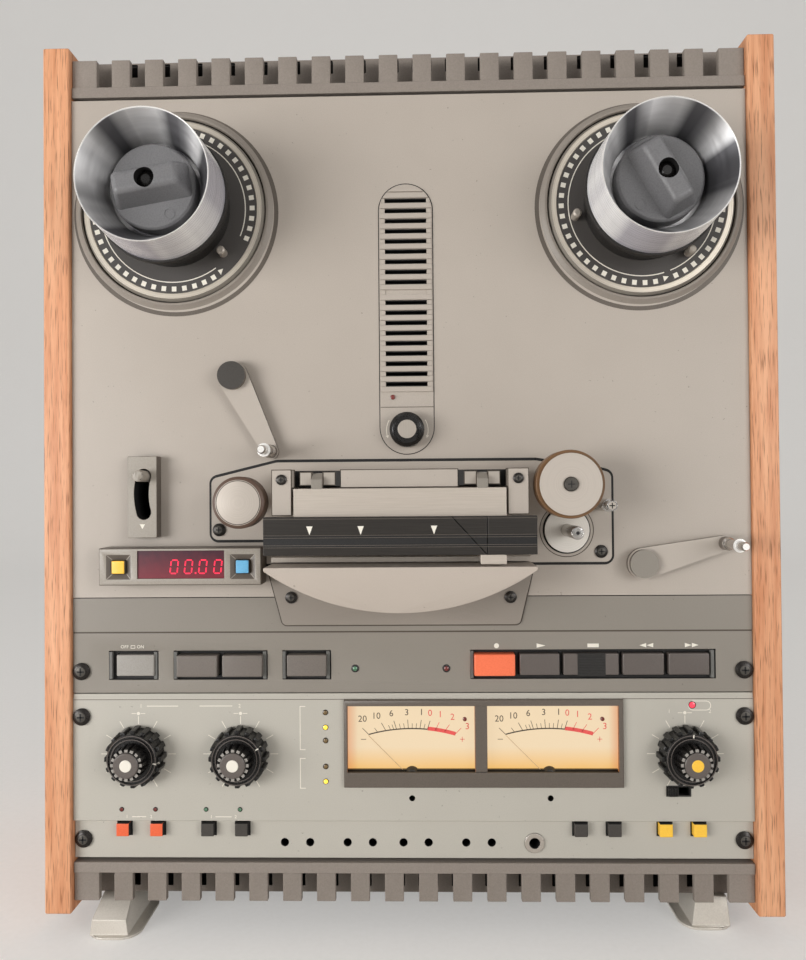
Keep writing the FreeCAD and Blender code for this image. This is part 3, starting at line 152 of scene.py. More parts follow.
@dataclass
class Paint:
    """A material on its way: its nodes, its shader and the place of each point."""

    name: str
    colour: str

    def __post_init__(self) -> None:
        """Starts the material with its viewport colour."""
        self.material = bpy.data.materials.new(self.name)
        self.material.use_nodes = True
        self.material.diffuse_color = linear(self.colour)
        self.tree = self.material.node_tree
        self.shader = self.tree.nodes["Principled BSDF"]
        self.place = add_node(self.tree, "ShaderNodeTexCoord").outputs["Object"]

    def noise(
        self, size: float, stretch: tuple[float, float, float] = (1, 1, 1), **settings: Any
    ) -> bpy.types.NodeSocket:
        """Gives noise with lumps of a size in mm, drawn out where stretch is small."""
        run = add_node(self.tree, "ShaderNodeMapping", {"Scale": stretch}, {"Vector": self.place})
        values = {"Scale": 1 / (size * MM), "Detail": 3.0}
        values.update({key.replace("_", " ").title(): value for key, value in settings.items()})
        return add_node(
            self.tree, "ShaderNodeTexNoise", values, {"Vector": run.outputs["Vector"]}
        ).outputs["Fac"]

    def ranged(
        self, socket: bpy.types.NodeSocket, source: tuple[float, float], target: tuple[float, float]
    ) -> bpy.types.NodeSocket:
        """Moves a value from one range to another."""
        settings = {
            "From Min": source[0], "From Max": source[1], "To Min": target[0], "To Max": target[1]
        }
        ramp = add_node(self.tree, "ShaderNodeMapRange", settings, {"Value": socket})
        return ramp.outputs["Result"]

    def mixed(self, share: bpy.types.NodeSocket, first: Any, second: str) -> bpy.types.NodeSocket:
        """Mixes a colour, or a socket, with a second colour."""
        settings = {"Color2": linear(second)}
        links = {"Fac": share}
        if isinstance(first, str):
            settings["Color1"] = linear(first)
        else:
            links["Color1"] = first
        return add_node(self.tree, "ShaderNodeMixRGB", settings, links).outputs["Color"]

    def combined(self, operation: str, *terms: Any) -> bpy.types.NodeSocket:
        """Combines sockets and numbers by a math node."""
        settings = {"operation": operation}
        settings.update({slot: term for slot, term in enumerate(terms) if isinstance(term, float)})
        links = {slot: term for slot, term in enumerate(terms) if not isinstance(term, float)}
        return add_node(self.tree, "ShaderNodeMath", settings, links).outputs["Value"]

    def along(self, axis: str) -> bpy.types.NodeSocket:
        """Gives each point's place along an axis."""
        split = add_node(self.tree, "ShaderNodeSeparateXYZ", {}, {"Vector": self.place})
        return split.outputs[axis]

    def feed(self, name: str, socket: bpy.types.NodeSocket) -> None:
        """Links a socket to the shader."""
        self.tree.links.new(socket, self.shader.inputs[name])

    def set(self, **values: Any) -> None:
        """Sets the shader's own sockets, their names written with underscores."""
        for key, value in values.items():
            self.shader.inputs[key.replace("_", " ")].default_value = value

    def bumped(self, height: bpy.types.NodeSocket, strength: float, depth: float) -> None:
        """Raises the surface by a height socket, depth in mm."""
        bump = add_node(
            self.tree,
            "ShaderNodeBump",
            {"Strength": strength, "Distance": depth * MM},
            {"Height": height},
        )
        self.feed("Normal", bump.outputs["Normal"])


class Surface:
    """Anything that faces are dressed in. Its material is made the first time it is asked for."""

    def material(self) -> bpy.types.Material:
        """Gives the material."""
        return bpy.data.materials.get(self.name) or self.made()


@dataclass(frozen=True)
class Finish(Surface):
    """A solid surface: its colour, the marks that its making left and how it shines.

    Attributes:
        name: What the real surface is, or the light or shade painted on it.
        colour: Its main colour.
        shade: The colour in its pits, lines or grain.
        pattern: The way its marks run.
        spacing: Distance between marks, in mm.
        contrast: How far the marks move the colour towards the shade.
        roughness: Middle roughness.
        relief: Strength of the bump.
        metallic: 1 for bare metal.
        coat: Clear lacquer on top.
        uneven: How far handling and dust move the colour over a hand's width.
        specks: Share of small dark flecks and nicks.
        streak: How far turned rings draw a highlight out along the radius.
        painted_reflection: Colour of the dark wedges painted into the colour as the reflections
            that such rings would mirror, if there are any.
        axis: x and z of the axis of turned work, in mm.
    """

    name: str
    colour: str
    shade: str
    pattern: Pattern = Pattern.SPRAYED
    spacing: float = 0.6
    contrast: float = 0.35
    roughness: float = 0.5
    relief: float = 0.12
    metallic: float = 0.0
    coat: float = 0.0
    uneven: float = 0.14
    specks: float = 0.0
    streak: float = 0.0
    painted_reflection: str = ""
    axis: tuple[float, float] = (0.0, 0.0)

    def turned_at(self, x: float, z: float) -> "Finish":
        """Gives the same turned finish about another axis."""
        return replace(self, name=f"{self.name} {round(x)} {round(z)}", axis=(x, z))

    def from_axis(self, paint: Paint) -> bpy.types.NodeSocket:
        """Gives the arrow from the axis of turned work to each point."""
        spot = at(self.axis[0], 0, self.axis[1])
        settings = {"Location": (-spot.x, 0, -spot.z), "Scale": (1, 0, 1)}
        moved = add_node(paint.tree, "ShaderNodeMapping", settings, {"Vector": paint.place})
        return moved.outputs["Vector"]

    def marks(self, paint: Paint) -> bpy.types.NodeSocket:
        """Draws the marks of the surface, from 0 to 1."""
        scale = 1 / (self.spacing * MM)
        tree = paint.tree
        if self.pattern is Pattern.TURNED:
            arrow = self.from_axis(paint)
            radius = add_node(tree, "ShaderNodeVectorMath", {"operation": "LENGTH"}, {0: arrow})
            run = paint.combined("MULTIPLY_ADD", paint.along("Y"), 0.6, radius.outputs["Value"])
            return add_node(
                tree,
                "ShaderNodeTexNoise",
                {"noise_dimensions": "1D", "Scale": scale, "Detail": 3.0},
                {"W": run},
            ).outputs["Fac"]
        if self.pattern is Pattern.MOULDED:
            return add_node(
                tree,
                "ShaderNodeTexVoronoi",
                {"feature": "SMOOTH_F1", "Scale": scale, "Smoothness": 0.6},
                {"Vector": paint.place},
            ).outputs["Distance"]
        stretch = {
            Pattern.SPRAYED: (1, 1, 1),
            Pattern.BRUSHED: (0.015, 1, 1),
            Pattern.DRAWN: (1, 1, 0.015),
        }[self.pattern]
        return paint.noise(self.spacing, stretch, roughness=0.6)

    def made(self) -> bpy.types.Material:
        """Makes the material."""
        paint = Paint(self.name, self.colour)
        marks = self.marks(paint)
        near = paint.ranged(marks, (0.3, 0.7), (0.0, self.contrast))
        wide = paint.ranged(paint.noise(90), (0.35, 0.75), (0.0, self.uneven))
        colour = paint.mixed(paint.combined("ADD", near, wide), self.colour, self.shade)
        if self.specks:
            flecks = paint.ranged(paint.noise(2.2, detail=4.0), (0.72, 0.78), (0.0, self.specks))
            colour = paint.mixed(flecks, colour, "#4a4038")
        # Painted reflection: dark wedges by the way from the axis, standing in for the room that
        # turned rings mirror.
        if self.painted_reflection:
            arrow = {0: self.from_axis(paint)}
            way = add_node(paint.tree, "ShaderNodeVectorMath", {"operation": "NORMALIZE"}, arrow)
            turn = add_node(
                paint.tree,
                "ShaderNodeTexNoise",
                {"Scale": 1.5, "Detail": 1.5},
                {"Vector": way.outputs["Vector"]},
            )
            dark = paint.ranged(turn.outputs["Fac"], (0.4, 0.58), (0.0, 1.0))
            colour = paint.mixed(dark, colour, self.painted_reflection)
        paint.feed("Base Color", colour)
        low, high = self.roughness * 0.85, min(1.0, self.roughness * 1.15)
        paint.feed("Roughness", paint.ranged(marks, (0.25, 0.75), (low, high)))
        paint.bumped(marks, self.relief, self.spacing * 0.3)
        paint.set(Metallic=self.metallic, Coat_Weight=self.coat)
        if self.streak:
            paint.set(Anisotropic=self.streak)
            ways = {"vector_type": "VECTOR", "convert_from": "OBJECT", "convert_to": "WORLD"}
            turned = add_node(
                paint.tree, "ShaderNodeVectorTransform", ways, {0: self.from_axis(paint)}
            )
            paint.feed("Tangent", turned.outputs["Vector"])
        return paint.material


@dataclass(frozen=True)
class Veneer(Surface):
    """Oiled wood veneer with upright grain: broad warm bands and short dark pores."""

    name: str = "oiled teak veneer"
    light: str = "#e6ab82"
    dark: str = "#c67f54"
    pore: str = "#84502d"
    band: float = 7.0
    pore_width: float = 0.8

    def made(self) -> bpy.types.Material:
        """Makes the material."""
        paint = Paint(self.name, self.light)
        upright = (1, 1, 0.05)
        bands = paint.noise(self.band, upright, detail=5.0, roughness=0.62, distortion=0.7)
        pores = paint.noise(self.pore_width, upright, detail=2.0)
        wood = paint.mixed(paint.ranged(bands, (0.36, 0.68), (0.0, 1.0)), self.light, self.dark)
        paint.feed(
            "Base Color", paint.mixed(paint.ranged(pores, (0.54, 0.7), (0.0, 0.8)), wood, self.pore)
        )
        paint.feed("Roughness", paint.ranged(pores, (0.3, 0.7), (0.42, 0.58)))
        paint.bumped(pores, 0.25, 0.15)
        return paint.material


@dataclass(frozen=True)
class Lit(Surface):
    """Something that glows: a lamp lens or a segment, with a fine cut inside it."""

    name: str
    colour: str
    glow: float = 1.0
    body: str = "#401008"

    def made(self) -> bpy.types.Material:
        """Makes the material."""
        paint = Paint(self.name, self.colour)
        cut = add_node(
            paint.tree, "ShaderNodeTexVoronoi", {"Scale": 1 / (0.5 * MM)}, {"Vector": paint.place}
        ).outputs["Distance"]
        paint.feed("Base Color", paint.mixed(cut, self.colour, self.body))
        paint.set(
            Emission_Color=linear(self.colour),
            Emission_Strength=self.glow,
            Roughness=0.25,
            Coat_Weight=0.5,
        )
        return paint.material


@dataclass(frozen=True)
class MeterCard(Surface):
    """Printed card of the level meters, warmest where the lamps are: at its foot and ends."""

    name: str = "cream meter card lit from below"
    top: str = "#fbe3bd"
    bottom: str = "#ffc258"
    end: str = "#f0925a"

    def made(self) -> bpy.types.Material:
        """Makes the material."""
        paint = Paint(self.name, self.top)
        foot = paint.ranged(paint.along("Z"), (98 * MM, 112 * MM), (1.0, 0.0))
        left = paint.ranged(paint.along("X"), (-38.5 * MM, -32 * MM), (1.0, 0.0))
        right = paint.ranged(paint.along("X"), (120 * MM, 125.5 * MM), (0.0, 1.0))
        pools = paint.ranged(paint.noise(40, detail=1.0), (0.3, 0.7), (0.75, 1.0))
        warm = paint.mixed(paint.combined("MULTIPLY", foot, pools), self.top, self.bottom)
        ends = paint.combined("MULTIPLY", paint.combined("MAXIMUM", left, right), 0.6)
        paint.feed("Emission Color", paint.mixed(ends, warm, self.end))
        fibre = paint.noise(0.3, detail=2.0)
        paint.feed("Base Color", paint.mixed(fibre, "#57493a", "#4c3f31"))
        paint.set(Emission_Strength=0.82, Roughness=0.7)
        return paint.material


@dataclass(frozen=True)
class Smoked(Surface):
    """Smoked red acrylic over the counter's figures, redder at its foot, where light enters it."""

    name: str = "smoked red acrylic"
    top: str = "#441a29"
    bottom: str = "#7a2431"

    def made(self) -> bpy.types.Material:
        """Makes the material."""
        paint = Paint(self.name, self.top)
        dust = paint.ranged(paint.noise(3), (0.3, 0.7), (-0.1, 0.1))
        foot = paint.ranged(paint.along("Z"), (217 * MM, 233 * MM), (1.0, 0.0))
        paint.feed(
            "Base Color", paint.mixed(paint.combined("ADD", foot, dust), self.top, self.bottom)
        )
        paint.set(Roughness=0.3, Coat_Weight=0.15)
        return paint.material


enamel = partial(Finish, spacing=0.5, roughness=0.44, specks=0.4)
moulded = partial(Finish, pattern=Pattern.MOULDED, roughness=0.34)
turned = partial(Finish, pattern=Pattern.TURNED, spacing=0.5, contrast=0.4, relief=0.05)
straight = partial(Finish, pattern=Pattern.BRUSHED, spacing=0.3, contrast=0.4)


@dataclass(frozen=True)
class Palette:
    """Every finish of the machine, each named for the real surface, or for the light or shade that
    it paints.
    """

    # Enamel with a fine metallic pigment, sprayed on sheet: satin grey-beige with a few nicks.
    deck: Finish = enamel(
        "satin silver-beige enamel", "#bab0a5", "#9e9388", uneven=0.24, specks=0.5
    )
    # The same enamel, darker, on the band below the deck and on the transport strip.
    band: Finish = enamel("satin grey enamel", "#8f887e", "#777067")
    amp: Finish = enamel("satin light grey enamel", "#beb9ae", "#a29d92", specks=0.6)
    lower: Finish = enamel(
        "satin grey-beige enamel", "#c0b4a8", "#a3978b", roughness=0.42, specks=0.5
    )
    # Darker enamel as painted shade: on the apron under the bowed cover and on the slopes of the
    # deck rings.
    apron: Finish = enamel("satin dark grey enamel", "#948b81", "#7a7168", roughness=0.46)
    # Coarser sprayed paint on the cast grilles: duller, with a visible orange peel.
    grille: Finish = Finish(
        "textured grey-brown paint", "#91877e", "#766c63", spacing=0.9, roughness=0.56, relief=0.3
    )
    # Powder coat on the rear cover: near black with coarse grain.
    cover: Finish = Finish(
        "black wrinkle powder coat", "#35322f", "#1f1d1b", spacing=1.1, roughness=0.6, relief=0.5
    )
    # Spark-eroded ABS of wells, bases and housings: dark and even.
    abs_black: Finish = moulded(
        "black moulded ABS", "#2b2927", "#1d1b1a", spacing=0.7, roughness=0.4
    )
    gloss_black: Finish = moulded(
        "polished black phenolic", "#181615", "#11100f", spacing=0.8, contrast=0.3, roughness=0.3,
        relief=0.05,
    )
    platter: Finish = enamel(
        "black crackle enamel", "#494542", "#3a3633", roughness=0.6, specks=0.0
    )
    key: Finish = moulded("dark grey moulded ABS", "#787069", "#655e58")
    key_deep: Finish = moulded("deep grey moulded ABS", "#655d58", "#544d49")
    key_black: Finish = moulded("charcoal moulded ABS", "#47433f", "#38342f")
    key_pale: Finish = moulded("grey moulded ABS", "#a09b94", "#8a857e")
    cheek: Finish = moulded("grey-green moulded ABS", "#6d6c68", "#5a5955", roughness=0.4)
    record: Finish = moulded("orange moulded ABS", "#fa7c55", "#e96a42")
    small_orange: Finish = moulded("deep orange moulded ABS", "#ee6a42", "#d95a34")
    yellow: Finish = moulded("yellow moulded ABS", "#ffcd48", "#f2b434")
    blue: Finish = moulded("blue moulded ABS", "#74bde6", "#58a4d0")
    knob_grey: Finish = moulded(
        "grey glass-filled nylon", "#747374", "#5e5d5f", spacing=0.8, roughness=0.46
    )
    # Lathe-turned aluminium: bright with fine rings, and dark wedges painted in as reflections.
    bright: Finish = turned(
        "bright turned aluminium", "#ffffff", "#f0eeee", contrast=0.15, roughness=0.28, relief=0.03,
        metallic=0.15, painted_reflection="#bdbbc4",
    )
    # Near-white edge: partly polished metal, partly painted highlight, on the hub's front lip and
    # the arm studs' ends.
    lip: Finish = turned(
        "polished lip of a turned cone", "#f7f4f0", "#e4e0da", contrast=0.2, roughness=0.3,
        relief=0.04, metallic=0.2,
    )
    # Rings deep enough to draw its highlights out into radial streaks; dark wedges painted in as
    # reflections.
    satin: Finish = turned(
        "satin anodised aluminium", "#f4f3f3", "#d8d6d6", spacing=0.45, contrast=0.3,
        roughness=0.36, metallic=0.85, streak=0.8, painted_reflection="#6f6e71",
    )
    rim: Finish = turned(
        "cream-grey cast rim, polished", "#e6dccd", "#c4b9a8", spacing=0.8, contrast=0.5,
        roughness=0.32, relief=0.2, metallic=0.6,
    )
    # Brushed sheet, lines along the long side.
    brushed: Finish = straight(
        "brushed aluminium sheet", "#cbc0b4", "#b1a698", contrast=0.5, roughness=0.4, relief=0.1,
        metallic=0.25,
    )
    drawn: Finish = Finish(
        "satin silver lacquer on zinc", "#b8afa4", "#9c9287", pattern=Pattern.DRAWN, spacing=0.4,
        contrast=0.3, roughness=0.42, relief=0.06, metallic=0.3,
    )
    steel: Finish = straight(
        "ground steel", "#d5d2ce", "#b3afaa", spacing=0.25, roughness=0.24, relief=0.05,
        metallic=1.0,
    )
    screw: Finish = moulded(
        "blackened steel", "#2f2b28", "#1f1c1a", spacing=0.5, contrast=0.3, roughness=0.3,
        relief=0.05, metallic=0.5,
    )
    zinc: Finish = Finish(
        "zinc-plated steel", "#b9b5ac", "#9a958a", spacing=1.4, contrast=0.5, roughness=0.4,
        relief=0.08, metallic=1.0,
    )
    rubber: Finish = moulded(
        "black rubber", "#2a2725", "#1d1b1a", spacing=0.5, contrast=0.4, roughness=0.72, relief=0.15
    )
    tyre: Finish = turned(
        "amber polyurethane tyre", "#7a5836", "#573c25", spacing=0.6, roughness=0.42, relief=0.1
    )
    rim_brown: Finish = turned("brown rubber rim", "#5d4638", "#42332a", spacing=0.6, relief=0.1)
    cap: Finish = turned("spun aluminium cap", "#c2b8ad", "#aca297", metallic=0.12)
    # Faced disc round the capstan, brighter than the plate that it is let into.
    faced: Finish = turned(
        "faced aluminium disc", "#efe9e0", "#d8d1c6", roughness=0.45, metallic=0.12
    )
    arm: Finish = enamel(
        "satin grey-beige lacquer", "#b8aea3", "#a1978c", contrast=0.2, roughness=0.46, specks=0.0
    )
    pointer: Finish = Finish(
        "pale brown lacquered wire", "#c9a982", "#a98b66", spacing=0.4, contrast=0.3, roughness=0.6,
        relief=0.05,
    )
    ink: Finish = Finish(
        "cream screen ink", "#ede7da", "#d9d2c4", spacing=0.3, contrast=0.3, roughness=0.6,
        relief=0.05,
    )
    ink_dark: Finish = Finish(
        "dark screen ink", "#4d4338", "#3c342b", spacing=0.3, contrast=0.3, roughness=0.6,
        relief=0.05,
    )
    ink_red: Finish = Finish(
        "red screen ink", "#ea5a55", "#d2453f", spacing=0.3, contrast=0.3, roughness=0.6,
        relief=0.05,
    )
    # Painted shade: matt black on the walls of holes, gaps and recesses, on the chassis behind the
    # joints and on sides turned from the light.
    shadow: Finish = enamel(
        "matt black paint in a recess", "#171514", "#0f0e0d", contrast=0.3, roughness=0.7,
        relief=0.1, specks=0.0,
    )
    # Also painted shade on the sides of raised plates, buttons and arms, and round the raised deck
    # rings.
    bezel: Finish = moulded("brown-grey moulded ABS", "#665d54", "#554d46", roughness=0.4)
    housing: Finish = moulded("light grey-beige moulded ABS", "#a39b90", "#8d857a", roughness=0.42)
    # Painted light: the glow of the lamps behind the card, painted on the sides of the window.
    amber_wall: Finish = moulded(
        "brown ABS wall in lamp light", "#a05e33", "#6d3d22", spacing=0.8, roughness=0.5
    )
    splice: Finish = straight(
        "black anodised extrusion", "#3f3b37", "#292624", spacing=0.35, contrast=0.6,
        roughness=0.34, relief=0.1, metallic=0.4,
    )
    foot: Finish = Finish(
        "cast grey zinc", "#d8d1c6", "#b9b1a6", spacing=0.9, contrast=0.4, roughness=0.34,
        metallic=0.15,
    )
    iron: Finish = straight(
        "lacquered lamination iron", "#5a5650", "#45413c", spacing=0.6, contrast=0.6, relief=0.2,
        metallic=0.5,
    )
    board: Finish = Finish(
        "green solder mask", "#35603f", "#2a4e33", spacing=1.2, contrast=0.4, roughness=0.3,
        relief=0.05, coat=0.3,
    )
    green_lamp: Lit = Lit("green lens", "#5f8f6d", 0.12, "#27402f")
    red_lamp: Lit = Lit("dark red lens", "#8a3a33", 0.1, "#3c1814")
    pink_lamp: Lit = Lit("red lens alight", "#f04a5c", 0.7, "#b02030")
    amber_lamp: Lit = Lit("amber lens alight", "#ffe04e", 1.0, "#f0b020")
    amber_off: Lit = Lit("amber lens out", "#8d7348", 0.05, "#4c3c28")
    digit: Lit = Lit("red segment alight", "#ff2f4e", 1.0, "#c01030")
    glass: Smoked = Smoked()
    veneer: Veneer = Veneer()
    card: MeterCard = MeterCard()


PAINTS = Palette()


# ---------------------------------------------------------------- bench


class Pick(Enum):
    """What edit mode selects."""

    VERT = "VERT"
    EDGE = "EDGE"
    FACE = "FACE"


def alone(piece: bpy.types.Object) -> None:
    """Leaves one object selected and active."""
    bpy.ops.object.select_all(action="DESELECT")
    bpy.context.view_layer.objects.active = piece
    piece.select_set(True)


def home_of(node: str) -> str:
    """Gives the body that a CAD node belongs to."""
    bodies = FRAME["record"]["behaviour"]["bodies"]
    return next(body for body, nodes in bodies.items() if node in nodes)


class Shape:
    """A mesh on the bench, shaped by operators, with its place kept in its vertices."""

    def __init__(self, name: str) -> None:
        """Takes over the object that an operator has just added."""
        self.piece = bpy.context.active_object
        self.piece.name = name
        self.piece.data.name = name
        alone(self.piece)
        bpy.ops.object.transform_apply(location=True, rotation=True, scale=True)

    @contextmanager
    def editing(self) -> Iterator[None]:
        """Opens edit mode on this piece alone, with nothing selected."""
        alone(self.piece)
        bpy.ops.object.mode_set(mode="EDIT")
        bpy.ops.mesh.select_mode(type="VERT")
        bpy.ops.mesh.select_all(action="DESELECT")
        yield
        bpy.ops.object.mode_set(mode="OBJECT")

    def pick(self, kind: Pick, test: Test) -> int:
        """Selects what passes a test, inside editing().

        Args:
            kind: Vertices, edges or faces.
            test: Gets the drawn place and the direction: a normal, or an edge's run.

        Returns:
            How many were selected.
        """
        bpy.ops.mesh.select_mode(type=kind.value)
        bpy.ops.mesh.select_all(action="DESELECT")
        net = bmesh.from_edit_mesh(self.piece.data)
        count = 0
        if kind is Pick.FACE:
            for face in net.faces:
                if test(drawn(face.calc_center_median()), face.normal):
                    face.select_set(True)
                    count += 1
        elif kind is Pick.EDGE:
            for edge in net.edges:
                a, b = edge.verts[0].co, edge.verts[1].co
                if test(drawn((a + b) / 2), b - a):
                    edge.select_set(True)
                    count += 1
        else:
            for vert in net.verts:
                if test(drawn(vert.co), vert.normal):
                    vert.select_set(True)
                    count += 1
        bmesh.update_edit_mesh(self.piece.data)
        return count

    @classmethod
    def copied(cls, name: str, node: str, edge: float = 0.3) -> "Shape":
        """Copies a CAD node, merges its loose triangles and breaks its hard edges.

        Args:
            name: Name of the piece.
            node: The CAD node.
            edge: Width of the broken edges in mm, 0 for none.

        Returns:
            The shape, which stands for the node.
        """
        shape = cls.placed(name, FRAME["nodes"][node].data.copy())
        with shape.editing():
            bpy.ops.mesh.select_all(action="SELECT")
            bpy.ops.mesh.remove_doubles(threshold=1e-6)
            bpy.ops.mesh.tris_convert_to_quads(
                face_threshold=math.radians(1), shape_threshold=math.radians(180)
            )
        shape.smooth()
        if edge:
            shape.broken(edge)
        else:
            for face in shape.piece.data.polygons:
                face.use_smooth = abs(face.normal.y) < 0.999
            shape.modified("WEIGHTED_NORMAL", keep_sharp=True)
        return shape.replaces(node)

    @classmethod
    def turned(
        cls, name: str, profile: Sequence[tuple[float, float]], x: float, z: float, sides: int = 72
    ) -> "Shape":
        """Turned piece: a circle drawn out ring by ring along its axis.

        Args:
            name: Name of the piece.
            profile: Radius and depth of each ring; a closed one ends where it starts.
            x: Axis, to the right.
            z: Axis, up.
            sides: Corners of each ring.

        Returns:
            The shape, capped at both ends unless its profile is closed.
        """
        radius, depth = profile[0]
        bpy.ops.mesh.primitive_circle_add(
            vertices=sides,
            radius=radius * MM,
            location=at(x, depth, z),
            rotation=(math.pi / 2, 0, 0),
        )
        shape = cls(name)
        closed = profile[0] == profile[-1]
        with shape.editing():
            bpy.ops.mesh.select_all(action="SELECT")
            if not closed:
                bpy.ops.mesh.edge_face_add()
                bpy.ops.mesh.select_all(action="SELECT")
            for next_radius, next_depth in profile[1:]:
                bpy.ops.mesh.extrude_region_move(
                    TRANSFORM_OT_translate={"value": (0, (next_depth - depth) * MM, 0)}
                )
                grow = next_radius / radius
                if abs(grow - 1) > 1e-9:
                    bpy.ops.transform.resize(
                        value=(grow, 1, grow), center_override=at(x, next_depth, z)
                    )
                radius, depth = next_radius, next_depth
            bpy.ops.mesh.select_all(action="SELECT")
            bpy.ops.mesh.remove_doubles(threshold=1e-6)
            bpy.ops.mesh.normals_make_consistent(inside=False)
        return shape

    @classmethod
    def prism(
        cls, name: str, outline: Sequence[tuple[float, float]], front: float, back: float
    ) -> "Shape":
        """Flat piece with an outline in x and z, drawn out from front to back."""
        mesh = bpy.data.meshes.new(name)
        mesh.from_pydata([at(x, front, z) for x, z in outline], [], [list(range(len(outline)))])
        return cls.placed(name, mesh).thickened(back - front)

    @classmethod
    def block(
        cls,
        name: str,
        low: tuple[float, float, float],
        high: tuple[float, float, float],
        edge: float = 0.0,
    ) -> "Shape":
        """Rectangular piece between two corners, with rounded edges if edge is given in mm."""
        a, b = at(*low), at(*high)
        bpy.ops.mesh.primitive_cube_add(size=1, location=(a + b) / 2, scale=b - a)
        shape = cls(name)
        return shape.smooth().broken(edge, 3) if edge else shape

    @classmethod
    def ribbon(
        cls,
        name: str,
        path: Sequence[tuple[float, float]],
        width: float,
        y: float,
        thick: float = 0.05,
    ) -> "Shape":
        """Thin strip that follows a path in x and z, such as a printed line.

        Args:
            name: Name of the piece.
            path: Points in x and z; a closed path ends where it starts.
            width: Width of the strip, in mm.
            y: Depth of its front.
            thick: How far it goes back from its front, in mm.

        Returns:
            The shape.
        """
        points = [Vector(p) for p in path]
        closed = path[0] == path[-1]
        left, right = [], []
        for i, here in enumerate(points):
            before = points[i - 1] if i else (points[-2] if closed else None)
            after = points[i + 1] if i + 1 < len(points) else (points[1] if closed else None)
            runs = [
                (b - a).normalized()
                for a, b in ((before, here), (here, after))
                if a is not None and b is not None
            ]
            run = sum(runs, Vector((0, 0))).normalized()
            side = Vector((-run.y, run.x)) * width / 2 / max(0.5, run.dot(runs[0]))
            left.append(here + side)
            right.append(here - side)
        corners = [at(p.x, y, p.y) for p in left + right]
        count = len(points)
        quads = [(i, i + 1, count + i + 1, count + i) for i in range(count - 1)]
        mesh = bpy.data.meshes.new(name)
        mesh.from_pydata(corners, [], quads)
        return cls.placed(name, mesh).thickened(thick)

    @classmethod
    def placed(cls, name: str, mesh: bpy.types.Mesh) -> "Shape":
        """Puts a mesh on the bench."""
        piece = bpy.data.objects.new(name, mesh)
        bpy.context.scene.collection.objects.link(piece)
        alone(piece)
        return cls(name)

    def thickened(self, depth: float) -> "Shape":
        """Draws a flat piece out towards the back, by a depth in mm, and closes it."""
        with self.editing():
            bpy.ops.mesh.select_all(action="SELECT")
            bpy.ops.mesh.remove_doubles(threshold=1e-7)
            bpy.ops.mesh.extrude_region_move(TRANSFORM_OT_translate={"value": (0, depth * MM, 0)})
            bpy.ops.mesh.select_all(action="SELECT")
            bpy.ops.mesh.normals_make_consistent(inside=False)
        return self

    @classmethod
    def seam(cls, name: str, node: str, test: Test, width: float, y: float) -> "Shape":
        """Dark joint line round the outline of some faces of a CAD node.

        Args:
            name: Name of the piece.
            node: The CAD node.
            test: Picks the faces by drawn place and normal.
            width: Width of the line outside their outline, in mm.
            y: Depth of its front.

        Returns:
            The shape.
        """
        shape = cls.placed(name, FRAME["nodes"][node].data.copy())
        with shape.editing():
            bpy.ops.mesh.select_all(action="SELECT")
            bpy.ops.mesh.remove_doubles(threshold=1e-6)
            shape.pick(Pick.FACE, lambda c, n: not test(c, n))
            bpy.ops.mesh.delete(type="FACE")
            bpy.ops.mesh.select_all(action="SELECT")
            bpy.ops.transform.resize(value=(1, 0, 1), center_override=at(0, y, 0))
            bpy.ops.mesh.region_to_loop()
            bpy.ops.mesh.extrude_edges_move(TRANSFORM_OT_translate={"value": (0, 0.06 * MM, 0)})
            shape.pick(Pick.FACE, lambda c, n: c.y < y + 0.01)
            bpy.ops.mesh.delete(type="FACE")
            bpy.ops.mesh.select_all(action="SELECT")
            bpy.ops.mesh.normals_make_consistent(inside=False)
        return shape.modified(
            "SOLIDIFY", thickness=2 * width * MM, offset=0.0, use_even_offset=True
        )

    @classmethod
    def lettered(
        cls, name: str, text: str, height: float, x: float, y: float, z: float, turn: float = 0.0
    ) -> "Shape":
        """Printed figures or letters, a hair thick, centred on a place and facing front."""
        bpy.ops.object.text_add(location=at(x, y, z), rotation=(math.pi / 2, math.radians(turn), 0))
        words = bpy.context.active_object
        words.data.body = text
        words.data.size = height * 1.4 * MM
        words.data.align_x = "CENTER"
        words.data.align_y = "CENTER"
        words.data.extrude = 0.03 * MM
        words.data.resolution_u = 3
        alone(words)
        bpy.ops.object.convert(target="MESH")
        return cls(name)

    def modified(self, kind: str, **settings: Any) -> "Shape":
        """Adds a modifier with its settings and applies it."""
        alone(self.piece)
        change = self.piece.modifiers.new(kind.lower(), kind)
        for key, value in settings.items():
            setattr(change, key, value)
        bpy.ops.object.modifier_apply(modifier=change.name)
        return self

    def broken(self, width: float, segments: int = 2, angle: float = 35.0) -> "Shape":
        """Breaks the hard edges by a width in mm."""
        return self.modified(
            "BEVEL",
            width=width * MM,
            segments=segments,
            limit_method="ANGLE",
            angle_limit=math.radians(angle),
            use_clamp_overlap=False,
            harden_normals=True,
        )

    def smooth(self, angle: float = 32.0) -> "Shape":
        """Shades the curves smooth and keeps the corners."""
        alone(self.piece)
        bpy.ops.object.shade_smooth_by_angle(angle=math.radians(angle))
        return self

    def carved(self, tool: "Shape") -> "Shape":
        """Cuts another shape out of this one and removes it."""
        self.modified("BOOLEAN", operation="DIFFERENCE", solver="EXACT", object=tool.piece)
        bpy.data.objects.remove(tool.piece)
        return self

    def turned_by(self, degrees: float, x: float, z: float) -> "Shape":
        """Turns the piece clockwise, seen from the front, about an axis at x and z."""
        with self.editing():
            bpy.ops.mesh.select_all(action="SELECT")
            bpy.ops.transform.rotate(
                value=-math.radians(degrees), orient_axis="Y", center_override=at(x, 0, z)
            )
        return self

